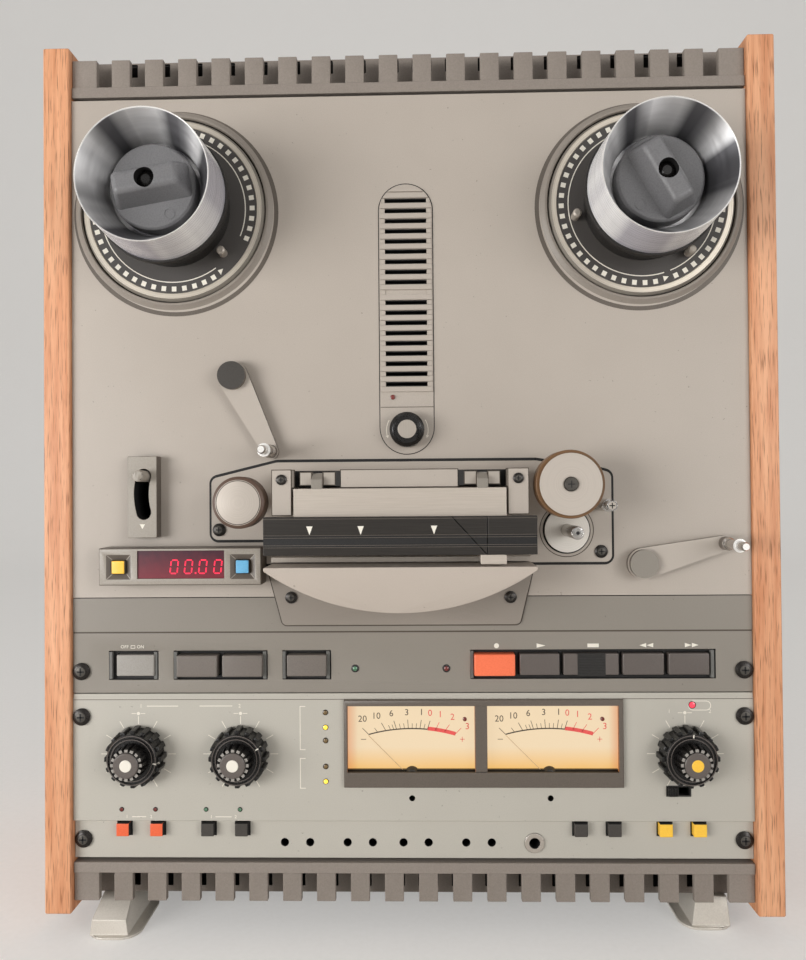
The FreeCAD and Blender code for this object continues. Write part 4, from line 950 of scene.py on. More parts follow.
    def joined(self, others: Sequence["Shape"]) -> "Shape":
        """Takes other shapes into this one, each keeping its material."""
        if others:
            alone(self.piece)
            for other in others:
                other.piece.select_set(True)
            bpy.ops.object.join()
        return self

    def dress(self, finish: Any, *areas: tuple[Any, Test]) -> "Shape":
        """Gives the finish, and others to the faces that pass a test of place and normal."""
        mesh = self.piece.data
        mesh.materials.clear()
        mesh.materials.append(finish.material())
        for face in mesh.polygons:
            face.material_index = 0
        for number, (other, test) in enumerate(areas, 1):
            mesh.materials.append(other.material())
            for face in mesh.polygons:
                if test(drawn(face.center), face.normal):
                    face.material_index = number
        return self

    def replaces(self, *nodes: str) -> "Shape":
        """Stands for CAD nodes and rides on the body of the first."""
        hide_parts(*nodes)
        return self.rides(nodes[0])

    def rides(self, node: str) -> "Shape":
        """Moves with the body that a CAD node belongs to."""
        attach(self.piece, home_of(node))
        return self


def spread(shape: Shape, count: int, x: float, z: float) -> Shape:
    """Repeats a shape evenly about an axis, by a spin that copies.

    Args:
        shape: The first one, in place.
        count: How many in the full turn.
        x: Axis, to the right.
        z: Axis, up.

    Returns:
        The shape, now with all of its copies.
    """
    with shape.editing():
        bpy.ops.mesh.select_all(action="SELECT")
        bpy.ops.mesh.spin(
            steps=count,
            dupli=True,
            angle=math.tau,
            center=at(x, 0, z),
            axis=(0, 1, 0),
            use_auto_merge=False,
        )
        bpy.ops.mesh.select_all(action="SELECT")
        bpy.ops.mesh.remove_doubles(threshold=1e-7)
    return shape


def round_the(x: float, z: float, radius: float, degrees: float) -> tuple[float, float]:
    """Gives the point at a radius and a clock angle, 0 up and turning to the right."""
    a = math.radians(degrees)
    return x + radius * math.sin(a), z + radius * math.cos(a)


def sweep(
    x: float, z: float, radius: float, start: float, end: float, steps: int = 48
) -> list[tuple[float, float]]:
    """Gives points along an arc, between two clock angles."""
    return [round_the(x, z, radius, start + (end - start) * i / steps) for i in range(steps + 1)]


def rectangle(left: float, right: float, low: float, high: float) -> list[tuple[float, float]]:
    """Gives the closed outline of a rectangle in x and z."""
    return [(left, low), (right, low), (right, high), (left, high), (left, low)]


def printed(name: str, node: str, finish: Any, shapes: Sequence[Shape]) -> None:
    """Joins printed marks or small lenses into one piece that rides with a CAD node."""
    piece = shapes[0].joined(shapes[1:])
    piece.piece.name = piece.piece.data.name = name
    piece.dress(finish).rides(node)


# ---------------------------------------------------------------- case


@dataclass
class Case:
    """Wooden sides, toothed grilles, sheet steel cover, feet and what shows of the inside."""

    edge: float = 0.4

    def sides(self) -> None:
        """Veneered side panels, their edges rounded by sanding."""
        Shape.copied("veneered_side_panels", "side_panels", 0.7).dress(PAINTS.veneer)

    def grilles(self) -> None:
        """Top and bottom grille with their teeth and lips."""
        Shape.copied("cast_vent_grilles", "vent_grilles", self.edge).dress(
            PAINTS.grille, (PAINTS.shadow, lambda c, n: 12.2 < c.y < 13.8 and abs(n.y) < 0.5)
        )

    def cover(self) -> None:
        """Rear cover and the chassis inside it, whose front is painted shade where a joint shows
        it.
        """
        Shape.copied("coated_rear_cover", "rear_cover", 0).dress(PAINTS.cover)
        Shape.copied("painted_chassis", "chassis_frame", 0).dress(
            PAINTS.shadow, (PAINTS.zinc, lambda c, n: c.y > 12)
        )

    def feet(self) -> None:
        """Cast feet on their thin bases."""
        Shape.copied("cast_feet", "feet", 0.5).dress(PAINTS.foot)

    def inside(self) -> None:
        """Motors, circuit board and transformer, seen through the slots."""
        Shape.copied("motor_cans", "motors", 0.3).dress(PAINTS.iron)
        Shape.copied("boards_and_transformer", "electronics", 0.2).dress(
            PAINTS.board, (PAINTS.iron, lambda c, n: c.z < 125 and c.y > 55)
        )

    def build(self) -> None:
        """Builds the case."""
        self.sides()
        self.grilles()
        self.cover()
        self.feet()
        self.inside()
        log.info("case built")


# ---------------------------------------------------------------- reels


@dataclass
class ReelDrive:
    """One turntable with its strobe ring, the hub adapter on it and the lock knob.

    Attributes:
        side: Which of the two it is.
        x: Its axis.
        lean: How far the lock knob is turned, in degrees.
        squares: Clock angle of the first strobe square, their step and their number.
        line: Clock angles between which the printed line runs.
        arrow: Clock angle of the tip of the printed arrow head.
        pins: Clock angle of the first drive pin.
    """

    side: str
    x: float
    lean: float
    squares: tuple[float, float, int]
    line: tuple[float, float]
    arrow: float
    pins: float
    z: float = 440.1
    knob_r: float = 24.5
    knob_face: float = -39.6
    grip_top: float = -53.0
    hole_r: float = 5.5
    strobe_r: float = 48.4
    hub_profile: tuple[tuple[float, float], ...] = (
        (5.05, -29.5), (27.0, -29.5), (27.0, -35.6), (36.0, -56.6), (36.3, -57.0), (36.8, -57.0),
        (37.9, -35.0), (37.9, -27.0), (39.2, -27.0), (39.2, -23.0), (35.0, -23.0), (35.0, -3.0),
        (5.05, -3.0), (5.05, -29.5),
    )

    def named(self, name: str) -> str:
        """Gives a name with the side in front."""
        return f"{self.side}_{name}"

    def radius(self, place: Vector) -> float:
        """Distance of a drawn place from the axis, in mm."""
        return around(self.x, self.z)(place)

    def turntable(self) -> None:
        """Black disc with a polished rim, strobe marks, drive pins and spindle."""
        x, z, radius = self.x, self.z, self.radius
        profile = [
            (5.0, -3.0), (51.1, -3.0), (51.5, -3.5), (54.3, -3.5), (55.8, -1.4), (55.8, 1.0),
            (6.0, 1.0), (6.0, 42.0),
        ]
        disc = Shape.turned(self.named("platter"), profile, x, z, 128).smooth()
        disc.dress(
            PAINTS.platter,
            (PAINTS.rim.turned_at(x, z), lambda c, n: 51.1 < radius(c) < 54.4 and c.y < -2.9),
            (PAINTS.band, lambda c, n: radius(c) > 54.4),
            (PAINTS.steel, lambda c, n: radius(c) < 6.3 and c.y > 1.2),
        )
        # The spindle is dark: painted shade, as it stands deep in the dark hole of the lock knob.
        spindle = Shape.turned(
            self.named("spindle"), [(2.5, -50.0), (5.0, -48.0), (5.0, -3.0)], x, z, 40
        )
        spindle.smooth().dress(PAINTS.gloss_black)
        pins = []
        for turn in (0, 120, 240):
            px, pz = round_the(x, z, 41.0, self.pins + turn)
            pin = Shape.turned(
                self.named(f"pin_{turn}"), [(1.5, -11.0), (2.5, -10.2), (2.5, -3.0)], px, pz, 24
            )
            pin.smooth().dress(PAINTS.drawn)
            pins.append(pin)
        disc.joined([spindle, *self.strobe(), *pins]).replaces(self.named("turntable"))

    def strobe(self) -> list[Shape]:
        """Printed squares, a thin line inside them, and an arrow head where both are broken."""
        x, z = self.x, self.z
        first, step, count = self.squares
        marks = []
        for i in range(count):
            turn = first + i * step
            inner, outer = (
                round_the(x, z, self.strobe_r - 1.5, turn),
                round_the(x, z, self.strobe_r + 1.5, turn),
            )
            marks.append(Shape.ribbon(self.named(f"square_{i}"), [inner, outer], 2.8, -3.06, 0.1))
        marks.append(
            Shape.ribbon(self.named("line"), sweep(x, z, 44.3, *self.line, 80), 0.6, -3.06, 0.1)
        )
        tip = round_the(x, z, self.strobe_r - 1.0, self.arrow)
        feet = [round_the(x, z, self.strobe_r + out, self.arrow + 4) for out in (-2.2, 1.2)]
        marks.append(Shape.prism(self.named("arrow"), [tip, *feet], -3.06, -2.96))
        for mark in marks:
            mark.dress(PAINTS.ink)
        return marks

    def hub(self) -> None:
        """Adapter: bright cone, satin funnel, rubber ring and black foot."""
        x, z, radius = self.x, self.z, self.radius
        hub = Shape.turned(self.named("adapter"), self.hub_profile, x, z, 128)
        hub.smooth().broken(0.3, 2, 25).dress(
            PAINTS.bright.turned_at(x, z),
            (PAINTS.satin.turned_at(x, z), lambda c, n: c.y < -29.3 and radius(c) < 35.9),
            (PAINTS.lip, lambda c, n: c.y < -56.7),
            (PAINTS.rubber, lambda c, n: -27.1 < c.y < -22.6 and radius(c) > 37.95),
            (PAINTS.abs_black, lambda c, n: c.y > -23.2),
        )
        hub.replaces(self.named("hub"))

    def knob(self) -> None:
        """Lock knob: a turned disc with a tapered grip; the spindle shows through its hole."""
        x, z, r, face = self.x, self.z, self.knob_r, self.knob_face
        profile = [
            (self.hole_r, -29.6), (r, -29.6), (r, face + 1.2), (r - 1.2, face), (self.hole_r, face),
            (self.hole_r, -29.6),
        ]
        disc = Shape.turned(self.named("lock_knob"), profile, x, z, 128).smooth().broken(0.5, 3, 25)
        grip = Shape.block(
            self.named("grip"),
            (x - r + 2, self.grip_top, z - 10.5),
            (x + r - 2, face + 2, z + 10.5),
        )
        with grip.editing():
            grip.pick(Pick.FACE, lambda c, n: n.y < -0.9)
            bpy.ops.transform.resize(value=(0.8, 1, 0.55), center_override=at(x, 0, z))
        grip.smooth().broken(2.6, 6)
        hole = Shape.turned(
            self.named("hole"), [(self.hole_r, -60.0), (self.hole_r, -36.0)], x, z, 64
        )
        grip.carved(hole).turned_by(self.lean, x, z).smooth()
        mark = Shape.ribbon(
            self.named("ring_mark"),
            sweep(*round_the(x, z, 18.5, 158 + self.lean), 2.9, 0, 360),
            0.5,
            face - 0.25,
            0.4,
        )
        for shape in (disc, grip, mark):
            shape.dress(
                PAINTS.knob_grey,
                (
                    PAINTS.shadow,
                    lambda c, n: self.radius(c) < self.hole_r + 0.06 and abs(n.y) < 0.5,
                ),
            )
        disc.joined([grip, mark]).replaces(self.named("hub_knob"))

    def build(self) -> None:
        """Builds the turntable, the adapter and its knob."""
        self.turntable()
        self.hub()
        self.knob()
        log.info("%s reel drive built", self.side)


# ---------------------------------------------------------------- deck


def wall(place: Vector, normal: Vector) -> bool:
    """Tells the sides of holes and gaps in a front plate."""
    return place.y > -0.85 and abs(normal.y) < 0.5


@dataclass
class Deck:
    """Deck plate, pitch plate, cue plate, counter and tension arms."""

    band_top: float = 203.9
    pitch: tuple[float, float] = (-0.4, 438.0)
    slat_half: float = 15.8
    slot_step: float = 6.2
    first_slot: float = 444.0
    slots: int = 19
    pitch_knob: tuple[float, float] = (-0.3, 304.4)
    windows: tuple[float, ...] = (-138.3, -129.8, -121.3, -112.4)

    def plate(self) -> None:
        """Deck plate with its raised rings, painted shade on their slopes and a painted shadow
        round each, and the darker band below it.
        """
        Shape.copied("enamelled_deck", "deck_plate", 0).dress(
            PAINTS.deck,
            (PAINTS.band, lambda c, n: c.z < self.band_top),
            # Painted shade on the slopes of the raised rings.
            (PAINTS.apron, lambda c, n: c.y < -1.1),
            (PAINTS.shadow, wall),
        )
        # Painted shadow: a dark ring just outside each raised ring, set a little down and in
        # towards the middle.
        shades = [
            Shape.ribbon("ring_shade", sweep(x, 438.3, 61.6, 0, 360, 96), 2.6, -1.08)
            for x in (-140.8, 140.8)
        ]
        printed("ring_shades", "deck_plate", PAINTS.bezel, shades)

    def half_at(self, z: float) -> float:
        """Half width of a slat at a height, within the round end of the plate."""
        rise = max(0.0, z - self.pitch[1])
        return math.sqrt(max(4.0, self.slat_half**2 - rise**2))

    def slat(self, low: float, high: float) -> Shape:
        """Raised bar across the pitch plate."""
        x = self.pitch[0]
        steps = [low, (low + high) / 2, high]
        outline = [(x + self.half_at(z), z) for z in steps] + [
            (x - self.half_at(z), z) for z in reversed(steps)
        ]
        return Shape.prism("slat", outline, -2.4, -1.25).smooth().broken(0.3, 2)

    def slats(self) -> None:
        """Bars between the cooling slots, with a small block at each end of a slot."""
        x, step = self.pitch[0], self.slot_step
        top = self.first_slot + step / 2
        bars = [
            self.slat(top - i * step - 1.6, top - i * step + 1.6) for i in range(self.slots + 1)
        ]
        bars.append(self.slat(top + 2.3, top + 4.4))
        for side in (-1, 1):
            for i in range(self.slots):
                z = self.first_slot - i * step
                reach = min(15.6, self.half_at(z))
                inner, outer = sorted((x + side * 12.6, x + side * reach))
                bars.append(
                    Shape.block(
                        "end_block", (inner, -1.9, z - 1.35), (outer, -1.25, z + 1.35), 0.15
                    )
                )
        shape = bars[0].joined(bars[1:])
        shape.piece.name = shape.piece.data.name = "pitch_plate_slats"
        shape.dress(PAINTS.deck).rides("deck_trim_plates")

    def trims(self) -> None:
        """Pitch plate, cue plate, counter housing and its window."""
        Shape.copied("deck_trims", "deck_trim_plates", 0.25).dress(
            PAINTS.deck,
            (PAINTS.shadow, wall),
            (PAINTS.housing, lambda c, n: c.x < -145 and c.z > 238),
            (PAINTS.housing, lambda c, n: c.x < -84 and c.z < 238),
            # Painted shade on the sides of the cue plate and the counter housing.
            (PAINTS.bezel, lambda c, n: (c.x < -145 or c.z < 238 and c.x < -84) and abs(n.y) < 0.9),
            (
                PAINTS.shadow,
                lambda c, n: c.x < -145 and c.z > 238 and c.y > -8.6 and -167.5 < c.x < -151.4,
            ),
            (
                PAINTS.shadow,
                lambda c, n: -182.5 < c.x < -87.0 and 213.6 < c.z < 234.6 and c.y > -14.2,
            ),
            (
                PAINTS.glass,
                lambda c, n: -160.2 < c.x < -108.3 and 217.0 < c.z < 233.6 and -15.5 < c.y < -13.4,
            ),
        )
        front = Shape.seam(
            "pitch_plate_joint",
            "deck_trim_plates",
            lambda c, n: n.y < -0.9 and abs(c.x) < 18 and c.y < 0 and c.z > 285,
            0.5,
            -1.1,
        )
        front.dress(PAINTS.shadow).rides("deck_trim_plates")

    def counter(self) -> None:
        """Seven-segment figures of the tape counter: 00.00."""
        bars = []
        for x in self.windows:
            wide, tall, mid = 2.1, 3.9, 224.0
            corners = [
                (x - wide + lean, mid + rise) for lean, rise in ((0.45, tall), (-0.45, -tall))
            ]
            right = [(cx + 2 * wide, cz) for cx, cz in corners]
            half = [
                ((a[0] + b[0]) / 2, mid)
                for a, b in ((corners[0], corners[1]), (right[0], right[1]))
            ]
            for start, end in (
                (corners[0], right[0]), (corners[1], right[1]), (corners[0], half[0]),
                (half[0], corners[1]), (right[0], half[1]), (half[1], right[1]),
            ):
                run = (Vector(end) - Vector(start)).normalized() * 0.55
                a, b = Vector(start) + run, Vector(end) - run
                bars.append(Shape.ribbon("segment", [tuple(a), tuple(b)], 0.7, -15.28, 0.06))
        bars.append(Shape.ribbon("point", [(-125.6, 219.8), (-125.6, 220.7)], 0.9, -15.28, 0.06))
        printed("counter_figures", "deck_trim_plates", PAINTS.digit, bars)

    def arms(self) -> None:
        """The two tension arms."""
        for side, pivot, cap in (
            ("supply", (-105.4, 337.8), PAINTS.key_black),
            ("takeup", (139.2, 223.5), PAINTS.band),
        ):
            from_pivot = around(*pivot)
            Shape.copied(f"{side}_arm", f"{side}_tension_arm", 0).dress(
                PAINTS.arm,
                (cap, lambda c, n: from_pivot(c) < 8.6 and c.y < -7.2),
                # Painted shade on the sides of each arm, and a painted highlight on the end of its
                # stud.
                (PAINTS.bezel, lambda c, n: c.y > -10.5 and abs(n.y) < 0.5),
                (PAINTS.steel, lambda c, n: c.y < -10.5),
                (PAINTS.lip, lambda c, n: c.y < -10.5 and n.y < -0.8),
            )

    def controls(self) -> None:
        """Pitch knob, cue lever and the two counter buttons."""
        x, z = self.pitch_knob
        Shape.copied("pitch_control_knob", "pitch_knob", 0.4).dress(PAINTS.gloss_black)
        face = face_of("pitch_knob")
        profile = [(5.4, face - 0.05), (5.6, face + 0.05), (5.6, face + 0.3)]
        disc = Shape.turned("pitch_knob_face", profile, x, z, 64)
        disc.dress(PAINTS.drawn).rides("pitch_knob")
        Shape.copied("cue_control_lever", "cue_lever", 0.3).dress(PAINTS.housing)
        # Each button's sides in the darker brown-grey: painted shade.
        for name, paint in (("memory", PAINTS.yellow), ("reset", PAINTS.blue)):
            Shape.copied(f"{name}_push_button", f"{name}_button", 0.3).dress(
                paint, (PAINTS.bezel, lambda c, n: abs(n.y) < 0.3)
            )

    def prints(self) -> None:
        """Printed line, turning arrows and cue mark, and the small pitch lamp."""
        x, z = self.pitch_knob
        line = Shape.ribbon("pitch_line", [(x - 16, 318.5), (x + 16, 318.5)], 0.4, PLATE_PRINT)
        printed("pitch_plate_line", "deck_trim_plates", PAINTS.ink_dark, [line])
        arrows, r = [], 12.6
        for side in (-1, 1):
            arc = sweep(x, z, r, side * 60, side * 105, 16)
            arrows.append(Shape.ribbon("turn_arc", arc, 0.5, PLATE_PRINT))
            feet = [round_the(x, z, radius, side * 104) for radius in (r - 1, r + 1)]
            head = [round_the(x, z, r, side * 112), *feet]
            arrows.append(Shape.prism("turn_head", head, PLATE_PRINT, -1.3))
        arrows.append(
            Shape.prism(
                "cue_mark", [(-161.0, 249.0), (-157.8, 249.0), (-159.4, 246.0)], -9.06, -9.0
            )
        )
        printed("deck_symbols", "deck_trim_plates", PAINTS.ink, arrows)
        lens = Shape.turned(
            "pitch_lens", [(1.0, -2.3), (1.5, -2.0), (1.5, -1.25)], -8.9, 324.5, 24
        ).smooth()
        printed("pitch_lamp", "deck_trim_plates", PAINTS.red_lamp, [lens])

    def build(self) -> None:
        """Builds the deck."""
        self.plate()
        self.trims()
        self.slats()
        self.counter()
        self.arms()
        self.controls()
        self.prints()
        log.info("deck built")


@dataclass
class HeadAssembly:
    """Base plate, bridge, heads, flap with the splicing block, lower cover and rollers."""

    lugs: tuple[tuple[float, float], ...] = (
        (-60.5, -53.9), (-47.5, -40.9), (32.2, 38.8), (45.2, 51.8)
    )
    recesses: tuple[tuple[float, float], ...] = ((-64.2, -37.2), (28.0, 56.0))
    capstan: tuple[float, float] = (94.8, 243.5)
    idler: tuple[float, float] = (-94.9, 261.9)
    pinch: tuple[float, float] = (90.8, 270.8)
    guide_pin: tuple[float, float] = (113.7, 258.7)
    gap_marks: tuple[float, ...] = (-54.1, -25.8, 14.6)
    ear_joints: tuple[float, ...] = (-54.0, -47.4, 38.7, 45.3)
    strip_lines: tuple[float, ...] = (230.0, 226.3)
    edge_lines: tuple[float, ...] = (236.9, 243.5, 252.6, 242.2, 238.0)

    def fixed(self) -> None:
        """Base plate with the bridge, heads and lower cover."""
        from_capstan = around(*self.capstan)
        lug = lambda c, n: (
            any(a < c.x < b for a, b in self.lugs) and -34.5 < c.y < -26.2 and 271 < c.z < 279
        )
        recess = lambda c, n: (
            any(a < c.x < b for a, b in self.recesses) and -33.6 < c.y < -25.8 and 270 < c.z < 280
        )
        Shape.copied("head_base_and_bridge", "head_base_plate", 0).dress(
            PAINTS.deck,
            (PAINTS.shadow, lambda c, n: c.y > -2.6 and abs(n.y) < 0.5),
            (PAINTS.shadow, recess),
            (PAINTS.drawn, lug),
            (PAINTS.drawn, lambda c, n: 226.4 < c.z < 229.8 and -20.5 < c.y < -3.5),
            (
                PAINTS.faced.turned_at(*self.capstan),
                lambda c, n: from_capstan(c) < 13.4 and c.y < -2.9,
            ),
            (PAINTS.shadow, lambda c, n: 13.2 < from_capstan(c) < 15.8 and c.y > -2.9),
        )
        Shape.copied("heads_and_guides", "tape_heads", 0.3).dress(PAINTS.steel)
        # The apron under the bowed cover is in the darker enamel: painted shade.
        Shape.copied("bowed_lower_cover", "lower_head_cover", 0.35).dress(
            PAINTS.lower, (PAINTS.apron, lambda c, n: c.y > -3.5),
            (PAINTS.shadow, lambda c, n: c.y > -2.4 and abs(n.y) < 0.5),
        )
        groove = [(14.3, -2.95), (15.75, -2.95), (15.75, -2.2), (14.3, -2.2), (14.3, -2.95)]
        ring = Shape.turned("capstan_ring", groove, *self.capstan, 72).smooth()
        printed("capstan_ring", "head_base_plate", PAINTS.deck, [ring])
        # The joint lines round the base plate, the posts and the beam are partly painted shade,
        # widened where these stand out in front.
        base = Shape.seam("base_joint", "head_base_plate", facing(-3.1, -2.9), 1.8, -1.15)
        printed("base_joint", "head_base_plate", PAINTS.shadow, [base])
        joints = [
            Shape.seam("apron_joint", "lower_head_cover", facing(-3.1, -1.0), 0.9, -1.1),
            Shape.seam("post_joint", "head_base_plate", facing(-36.1, -35.9), 0.5, -35.4),
            Shape.seam("beam_joint", "head_base_plate", facing(-34.1, -33.9), 0.5, -33.4),
            Shape.ribbon("capstan_line", sweep(*self.capstan, 16.0, 0, 360, 72), 0.5, -3.06),
        ]
        for x in self.ear_joints:
            joints.append(Shape.ribbon("ear_joint", [(x, 271.6), (x, 278.4)], 0.5, -34.06))
        for z in self.strip_lines:
            joints.append(Shape.ribbon("strip_line", [(-79.5, z), (40.0, z)], 0.5, -20.56))
        printed("head_joints", "head_base_plate", PAINTS.ink_dark, joints)

    def hinge_blocks(self) -> None:
        """Small black blocks at the end of each hinge recess."""
        blocks = []
        for low, high in ((-40.6, -37.5), (28.3, 31.9)):
            blocks.append(
                Shape.block("hinge_block", (low, -33.5, 270.6), (high, -26.2, 279.3), 0.3)
            )
        printed("hinge_blocks", "head_base_plate", PAINTS.abs_black, blocks)

    def flap(self) -> None:
        """Flap and the splicing block on it, with its printed gap marks."""
        block = lambda c, n: c.y < -38.2 and 232.3 < c.z < 253.85
        Shape.copied("flap_and_splicing_block", "head_flap", 0.3).dress(
            PAINTS.brushed,
            (PAINTS.splice, block),
            (PAINTS.shadow, lambda c, n: block(c, n) and -42.9 < c.y < -41.0),
            (PAINTS.band, lambda c, n: c.z > 269.5),
        )
        marks = []
        for x in self.gap_marks:
            outline = [(x - 1.75, 248.6), (x + 1.75, 248.6), (x, 243.8)]
            marks.append(Shape.prism("gap_mark", outline, -43.05, -43.0))
        printed("gap_marks", "head_flap", PAINTS.ink, marks)
        lines = [
            Shape.ribbon("edge_line", [(-79.8, z), (71.2, z)], 0.25, -43.03)
            for z in self.edge_lines
        ]
        printed("block_lines", "head_flap", PAINTS.bezel, lines)

    def cross(self, x: float, z: float, reach: float, y: float) -> list[Shape]:
        """Gives the dark cross of a small screw."""
        lines = [
            Shape.ribbon("cross", [(x - dx, z - dz), (x + dx, z + dz)], 0.6, y)
            for dx, dz in ((reach, 0), (0, reach))
        ]
        for line in lines:
            line.dress(PAINTS.shadow)
        return lines

    def rollers(self) -> None:
        """Idler, pinch roller with its arm, and capstan."""
        ix, iz = self.idler
        from_idler = around(ix, iz)
        Shape.copied("idler_wheel", "idler_roller", 0.4).dress(
            PAINTS.cap.turned_at(ix, iz), (PAINTS.rim_brown, lambda c, n: from_idler(c) > 12.9)
        )
        circle = sweep(ix, iz, 12.3, 0, 360, 72)
        edge = Shape.ribbon("idler_edge", circle, 0.45, face_of("idler_roller") - 0.04)
        printed("idler_edge", "idler_roller", PAINTS.ink_dark, [edge])
        px, pz = self.pinch
        from_pinch = around(px, pz)
        arm = Shape.copied("pinch_arm_bar", "pinch_arm", 0.3)
        arm.dress(PAINTS.steel, (PAINTS.iron, lambda c, n: from_pinch(c) < 5 and c.y < -20))
        arm.joined(self.cross(px, pz, 2.0, face_of("pinch_arm") - 0.04))
        Shape.copied("pinch_wheel", "pinch_roller", 0.4).dress(
            PAINTS.cap.turned_at(px, pz),
            (PAINTS.tyre.turned_at(px, pz), lambda c, n: from_pinch(c) > 16.4),
        )
        face = face_of("pinch_roller")
        ring = rectangle(4.6, 17.4, face - 0.05, face + 0.3)
        cap = Shape.turned("pinch_cap", ring, px, pz, 72).smooth()
        cap.dress(PAINTS.cap.turned_at(px, pz)).rides("pinch_roller")
        gx, gz = self.guide_pin
        tip = Shape.turned(
            "guide_pin_tip", [(2.1, -37.1), (2.4, -36.9), (2.4, -36.5)], gx, gz, 32
        ).smooth()
        tip.dress(PAINTS.drawn).joined(self.cross(gx, gz, 1.6, -37.14)).rides("tape_heads")
        Shape.copied("capstan_shaft", "capstan", 0.3).dress(PAINTS.steel)
        face = face_of("capstan")
        dot = Shape.turned(
            "capstan_centre", [(1.0, face - 0.02), (1.0, face + 0.05)], *self.capstan, 24
        )
        dot.dress(PAINTS.shadow).rides("capstan")

    def build(self) -> None:
        """Builds the head assembly."""
        self.fixed()
        self.hinge_blocks()
        self.flap()
        self.rollers()
        log.info("head assembly built")


@dataclass
class Transport:
    """Strip with the transport keys, their lamps and symbols."""

    keys: tuple[tuple[str, str], ...] = (
        ("power_key", "key_pale"), ("speed_key", "key"), ("reel_size_key", "key"),
        ("edit_key", "key"), ("record_key", "record"), ("play_key", "key_deep"),
        ("stop_key", "key_deep"), ("rewind_key", "key_deep"), ("forward_key", "key_deep"),
    )
    pockets: tuple[tuple[float, float], ...] = (
        (-183.0, -152.8), (-143.4, -86.2), (-77.0, -47.6), (36.6, 183.2)
    )
    symbol_z: float = 174.0

    def strip(self) -> None:
        """Strip with its black pockets, whose end cheeks are a lighter grey."""
        Shape.copied("transport_strip", "transport_panel", 0.25).dress(
            PAINTS.band,
            (PAINTS.shadow, wall),
            (PAINTS.shadow, lambda c, n: 153.9 < c.z < 171.8 and c.y > -0.75),
        )
        cheeks = []
        for left, right in self.pockets:
            for low, high in ((left, left + 1.9), (right - 2.9, right - 0.7)):
                cheeks.append(Shape.block("cheek", (low, -0.9, 154.4), (high, 1.5, 171.0), 0.3))
        printed("pocket_cheeks", "transport_panel", PAINTS.cheek, cheeks)
        joint = Shape.ribbon("strip_joint", [(-204.9, 182.75), (204.9, 182.75)], 0.9, -1.04)
        printed("strip_joint", "transport_panel", PAINTS.ink_dark, [joint])

    def caps(self) -> None:
        """Key caps, and the ribbed middle of the stop key."""
        for key, paint in self.keys:
            Shape.copied(f"{key}_cap", key, 0.5).dress(getattr(PAINTS, paint))
        face = face_of("stop_key")
        grid = [Shape.block("stop_pad", (100.6, face - 0.05, 156.0), (117.3, face + 0.2, 169.6))]
        grid += [
            Shape.block("stop_rib", (101.0, face - 0.3, z - 0.22), (116.9, face, z + 0.22))
            for z in [156.8 + 0.95 * i for i in range(14)]
        ]
        printed("stop_key_grip", "stop_key", PAINTS.abs_black, grid)

    def symbols(self) -> None:
        """Transport symbols above the keys."""
        z, y = self.symbol_z, PANEL_PRINT
        marks = [Shape.prism("dot", sweep(52.4, z, 1.5, 0, 345, 23), y, -1.0)]

        def arrow(tip: float, foot: float) -> None:
            marks.append(
                Shape.prism("arrow", [(tip, z), (foot, z + 1.3), (foot, z - 1.3)], y, -1.0)
            )

        arrow(81.9, 76.5)
        stop = rectangle(106.9, 113.7, z - 1.1, z + 1.1)[:-1]
        marks.append(Shape.prism("stop", stop, y, -1.0))
        for tip, foot in ((138.0, 142.0), (142.2, 146.2), (169.0, 165.0), (173.2, 169.2)):
            arrow(tip, foot)
        marks.append(Shape.lettered("off", "OFF", 2.0, -173.5, y + 0.03, z))
        marks.append(Shape.lettered("on", "ON", 2.0, -163.8, y + 0.03, z))
        marks.append(Shape.ribbon("push", rectangle(-169.6, -167.2, z - 0.8, z + 0.8), 0.3, y))
        printed("transport_symbols", "transport_panel", PAINTS.ink, marks)

    def lamps(self) -> None:
        """Green and red lamps with their black rims."""
        rims = []
        for x, z, paint, name in (
            (-33.0, 160.6, PAINTS.green_lamp, "edit"), (22.1, 160.5, PAINTS.red_lamp, "record")
        ):
            lens = Shape.turned(
                f"{name}_lens", [(0.7, -2.2), (1.4, -1.8), (1.5, -1.0)], x, z, 24
            ).smooth()
            printed(f"{name}_lamp", "transport_panel", paint, [lens])
            profile = [(1.5, -1.5), (2.3, -1.3), (2.4, -1.0), (1.5, -1.0), (1.5, -1.5)]
            rims.append(Shape.turned(f"{name}_rim", profile, x, z, 32).smooth())
        printed("lamp_rims", "transport_panel", PAINTS.abs_black, rims)

    def build(self) -> None:
        """Builds the strip and its keys."""
        self.strip()
        self.caps()
        self.symbols()
        self.lamps()
        log.info("transport strip built")


# ---------------------------------------------------------------- amplifier


